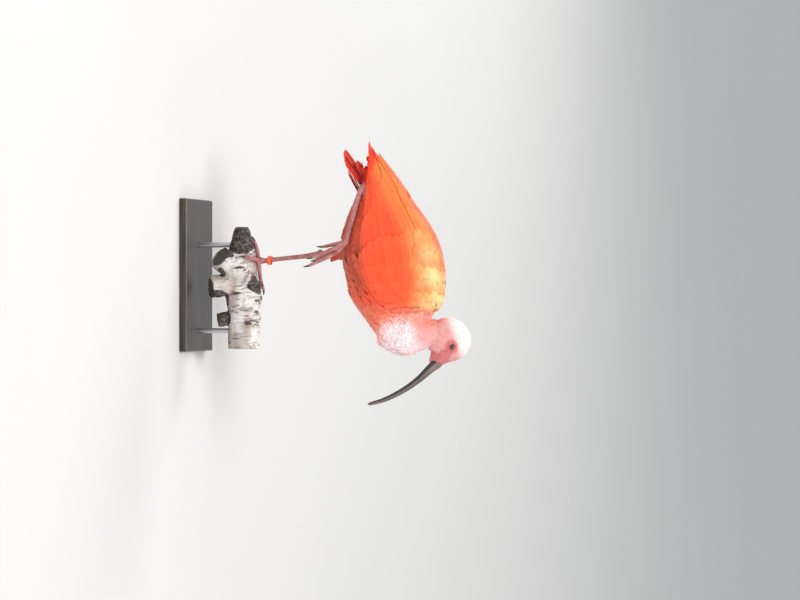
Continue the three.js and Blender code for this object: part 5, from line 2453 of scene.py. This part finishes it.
class Studio:
    """Floor, lights and camera."""

    AIM = (0.0375, 0.0, 0.3225)
    DISTANCE = 5.6
    ELEVATION = 12.0
    LENS = 168.0
    SENSOR = 36.0
    FLOOR = 40.0
    TARGET = (0, 0, 0.3)
    LIGHTS = (
        ("key", (-0.5, -1.6, 3.4), 1.6, 80, (1.0, 0.97, 0.92)),
        ("fill", (2.6, -3.4, 1.2), 2.6, 52, (0.94, 0.97, 1.0)),
        ("rim", (-2.2, 2.6, 2.4), 1.8, 60, (1.0, 1.0, 1.0)),
    )
    SKY = (0.93, 0.96, 1.0, 1.0)
    SKY_STRENGTH = 0.62

    def floor(self) -> None:
        """A wide pale floor."""
        mesh = bpy.data.meshes.new("floor")
        reach = self.FLOOR
        corners = [(-reach, -reach, 0), (reach, -reach, 0), (reach, reach, 0), (-reach, reach, 0)]
        mesh.from_pydata(corners, [], [(0, 1, 2, 3)])
        item = bpy.data.objects.new("floor", mesh)
        bpy.context.scene.collection.objects.link(item)
        s = Shader("studio_floor")
        shade = s.mix(s.noise(1.5, 3), (0.70, 0.69, 0.67), (0.74, 0.73, 0.71))
        s.surface_set(Base_Color=shade, Roughness=0.85)
        mesh.materials.append(s.material)

    def light(self, name: str, place: Row, size: float, power: float, colour: Row) -> None:
        """One soft area light that looks at the bird.

        Args:
            name: Name of the light.
            place: Where it hangs, in metres.
            size: Diameter in metres.
            power: Watts.
            colour: Its colour.
        """
        data = bpy.data.lights.new(name, "AREA")
        data.shape, data.size, data.energy, data.color = "DISK", size, power, colour
        item = bpy.data.objects.new(name, data)
        item.location = place
        way = Vector(self.TARGET) - Vector(place)
        item.rotation_euler = way.to_track_quat("-Z", "Y").to_euler()
        bpy.context.scene.collection.objects.link(item)

    def camera(self) -> None:
        """The photograph's view, on its side as the photograph is."""
        data = bpy.data.cameras.new("camera")
        data.lens, data.sensor_width = self.LENS, self.SENSOR
        item = bpy.data.objects.new("camera", data)
        tilt = math.radians(self.ELEVATION)
        aim = Vector(self.AIM)
        item.location = aim + self.DISTANCE * Vector((0.0, -math.cos(tilt), math.sin(tilt)))
        look = (aim - item.location).normalized()
        up = Vector((-1.0, 0.0, 0.0))
        right = look.cross(up).normalized()
        matrix = Matrix((right, up, -look)).transposed().to_4x4()
        matrix.translation = item.location
        item.matrix_world = matrix
        bpy.context.scene.collection.objects.link(item)
        bpy.context.scene.camera = item

    def build(self) -> None:
        """Set up the studio."""
        bpy.context.scene.view_settings.view_transform = "Standard"
        self.floor()
        for row in self.LIGHTS:
            self.light(*row)
        world = bpy.data.worlds.new("studio")
        bpy.context.scene.world = world
        world.use_nodes = True
        back = world.node_tree.nodes["Background"]
        back.inputs["Color"].default_value = self.SKY
        back.inputs["Strength"].default_value = self.SKY_STRENGTH
        self.camera()


class Toes:
    """Where the toes of both feet run."""

    PALM = (-21.5, 4.8)
    STANDING = {
        "hallux": (-50, 4, 2.9, 2.3),
        "inner": (-27, -62, 3.3, 2.4),
        "middle": (21, 12, 3.4, 2.4),
        "outer": (-5, 92, 3.2, 2.3),
    }
    RAISED_JOINT = (-48.8, -38, 147.2)
    RAISED = {
        "hallux": [[-47, -37.5, 136, 3.2], [-44.4, -36.5, 124, 2.8], [-42.4, -36, 113.5, 2.3]],
        "inner": [[-37.5, -33.4, 134, 3.4], [-29.5, -30.6, 117, 3], [-22.8, -28.6, 101.5, 2.4]],
        "middle": [[-35, -40, 134.5, 3.7], [-24.5, -40, 115, 3.2], [-14.5, -38.5, 93, 2.4]],
        "outer": [[-40.5, -45.5, 134.5, 3.3], [-33.6, -46.4, 117.5, 2.9],
                  [-26.2, -45.4, 99.5, 2.3]],
    }

    @classmethod
    def on_branch(cls, perch: Perch, x: float, degrees: float, clearance: float) -> list:
        """A point above the bark, round from the branch's top towards the bird's left.

        Args:
            perch: The branch.
            x: Place along the branch.
            degrees: Degrees round the branch.
            clearance: How far above the bark.

        Returns:
            Its x, y and height.
        """
        height, radius = perch.axis(x)[0]
        angle = math.radians(degrees)
        reach = radius + clearance
        return [x, perch.y + reach * math.sin(angle), height + reach * math.cos(angle)]

    @classmethod
    def standing(cls, perch: Perch) -> dict:
        """The standing foot's toes, gripping the bark.

        Args:
            perch: The branch.

        Returns:
            Stations of each toe, by name.
        """
        out = {}
        for name, (end_x, end_angle, root, tip) in cls.STANDING.items():
            rows = []
            for t in np.linspace(0, 1, 7):
                radius = root + (tip - root) * t
                x = cls.PALM[0] + (end_x - cls.PALM[0]) * t
                rows.append([*cls.on_branch(perch, x, end_angle * t, 0.3 + radius), radius])
            out[name] = rows
        return out

    @classmethod
    def raised(cls) -> dict:
        """The raised foot's toes, hanging together."""
        return {name: [[*cls.RAISED_JOINT, 4.0], *rows] for name, rows in cls.RAISED.items()}


def dress(item: bpy.types.Object, material: bpy.types.Material,
          nodes: Sequence[str] = ()) -> None:
    """Give a piece its material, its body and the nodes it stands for.

    Args:
        item: The piece.
        material: Its finish.
        nodes: CAD nodes that it replaces.
    """
    item.data.materials.clear()
    item.data.materials.append(material)
    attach(item, "root")
    if nodes:
        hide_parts(*nodes)
    LOG.info("dressed %s", item.name)


def build_plumage(feathers: bpy.types.Material, bare_skin: bpy.types.Material) -> None:
    """The skin and every feather on it.

    Args:
        feathers: The feathers' material.
        bare_skin: The bare skin's material.
    """
    maker = Skin()
    skin = maker.build()
    tree = Coat.tree()
    coats = [
        Coat(Zone.HEAD, 0.8, 1, fine=True),
        Coat(Zone.NECK, 1.3, 2, fine=True),
        Coat(Zone.BREAST, 2.9, 3),
        Coat(Zone.BACK, 3.6, 4),
        Coat(Zone.BELLY, 3.4, 5),
        Coat(Zone.THIGH, 2.3, 6),
    ]
    for coat in coats:
        dress(coat.build(skin, tree, feathers), feathers)
    dress(skin, bare_skin,
          ("torso", "neck", "head", "thigh_left", "thigh_right"))
    for side, name in SIDES.items():
        dress(WingFeathers(side).build(maker.plumage), feathers, (f"wing_{name}",))
        dress(Scapulars(side).build(maker.plumage), feathers, (f"wing_{name}",))
        dress(FlankFeathers(side).build(maker.plumage), feathers)
    dress(TailFeathers().build(maker.plumage), feathers, ("tail",))


def build_head(bare_skin: bpy.types.Material) -> None:
    """Bill, eyes and lids.

    Args:
        bare_skin: The bare skin's material.
    """
    upper = HornFinish("bill_upper_horn", (0.27, 0.17, 0.145), (0.125, 0.092, 0.080),
                       (0.20, 0.135, 0.105), (0.045, 0.032, 0.028))
    lower = HornFinish("bill_lower_horn", (0.075, 0.045, 0.040), (0.050, 0.036, 0.032),
                       (0.16, 0.11, 0.085), (0.030, 0.022, 0.020))
    bill = Bill()
    dress(bill.half("upper_mandible", 1), upper.build(), ("bill_upper",))
    dress(bill.half("lower_mandible", -1), lower.build(), ("bill_lower",))
    eye = EyeFinish().build()
    for side, name in SIDES.items():
        dress(Eye().build(f"eyeball_{name}", side), eye, (f"eye_{name}",))
        dress(Eye().lids(f"lids_{name}", side, Plumage()), bare_skin)


def build_legs(perch: Perch) -> None:
    """Both legs, their claws and the band.

    Args:
        perch: The branch.
    """
    skin = LegFinish().build()
    horn = HornFinish("claw_horn", (0.16, 0.13, 0.12), (0.075, 0.062, 0.056),
                      (0.05, 0.043, 0.04), (0.05, 0.04, 0.04), 0.35).build()
    standing, raised = Toes.standing(perch), Toes.raised()
    palm = Toes.on_branch(perch, Toes.PALM[0], 0, 0.55 + Toes.PALM[1])
    left = Leg("leg_left", [
        [[-29, 9, 136, 5], [-27.5, 8.8, 126, 4.1], [-29, 7.6, 112, 3.9], [-30.5, 6.6, 102, 4.6]],
        [[-30.9, 6.1, 97, 5.6], [-30, 6, 87, 4.8], [-28.5, 5.6, 74, 3.7], [-25.5, 5, 44, 3.4],
         [-22.6, 4.2, 18, 3.6], [-21.6, 4, 8, 4.6]],
    ], standing, (-31.2, 6.1, 96.5, 6.1), (*palm, Toes.PALM[1]),
        ("shank_left", "tarsus_left", "foot_left"))
    right = Leg("leg_right", [
        [[-106, -21.4, 174.2, 3.8], [-120, -21.4, 174, 3.7], [-130, -22.6, 172, 4.6]],
        [[-130.5, -22.8, 169.5, 5.2], [-118, -25.4, 164.8, 4.1], [-84, -32.4, 156.6, 3.8],
         [-56, -37.2, 149.4, 4.3], [-49, -38.4, 147.4, 4.9]],
    ], raised, (-130.3, -22.8, 170.6, 6.1), (*Toes.RAISED_JOINT, 5.0),
        ("shank_right", "tarsus_right", "foot_right"))
    for leg in (left, right):
        dress(leg.build(), skin, leg.nodes)
    for name, toe in standing.items():
        x, y, z = toe[-1][:3]
        height, _ = perch.axis(x)[0]
        inward = unit(np.array([0.0, perch.y - y, height - z])) * 0.5
        claw = Claw().build(f"nail_left_{name}", toe, inward)
        dress(claw, horn, (f"claw_left_{name}",))
    for name, toe in raised.items():
        claw = Claw(9.0).build(f"nail_right_{name}", toe, (-0.4, 0, -0.6))
        dress(claw, horn, (f"claw_right_{name}",))
    dress(LegBand().build(), BandFinish().build(), ("leg_band",))


def build_stand() -> None:
    """The display stand keeps its CAD shape and gets its finish."""
    wood, steel = StainedWoodFinish().build(), SteelFinish().build()
    for node, finish in (("stand_base", wood), ("stand_rod_front", steel),
                         ("stand_rod_rear", steel)):
        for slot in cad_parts[node].material_slots:
            slot.material = finish


def main() -> None:
    """Build every piece in order and report it."""
    logging.basicConfig(level=logging.INFO, format="%(name)s %(message)s")
    Studio().build()
    perch = Perch()
    dress(perch.build(), BarkFinish().build(), ("perch",))
    build_stand()
    build_legs(perch)
    bare_skin = SkinFinish().build()
    build_head(bare_skin)
    build_plumage(FeatherFinish().build(), bare_skin)


if __name__ == "__main__":
    main()
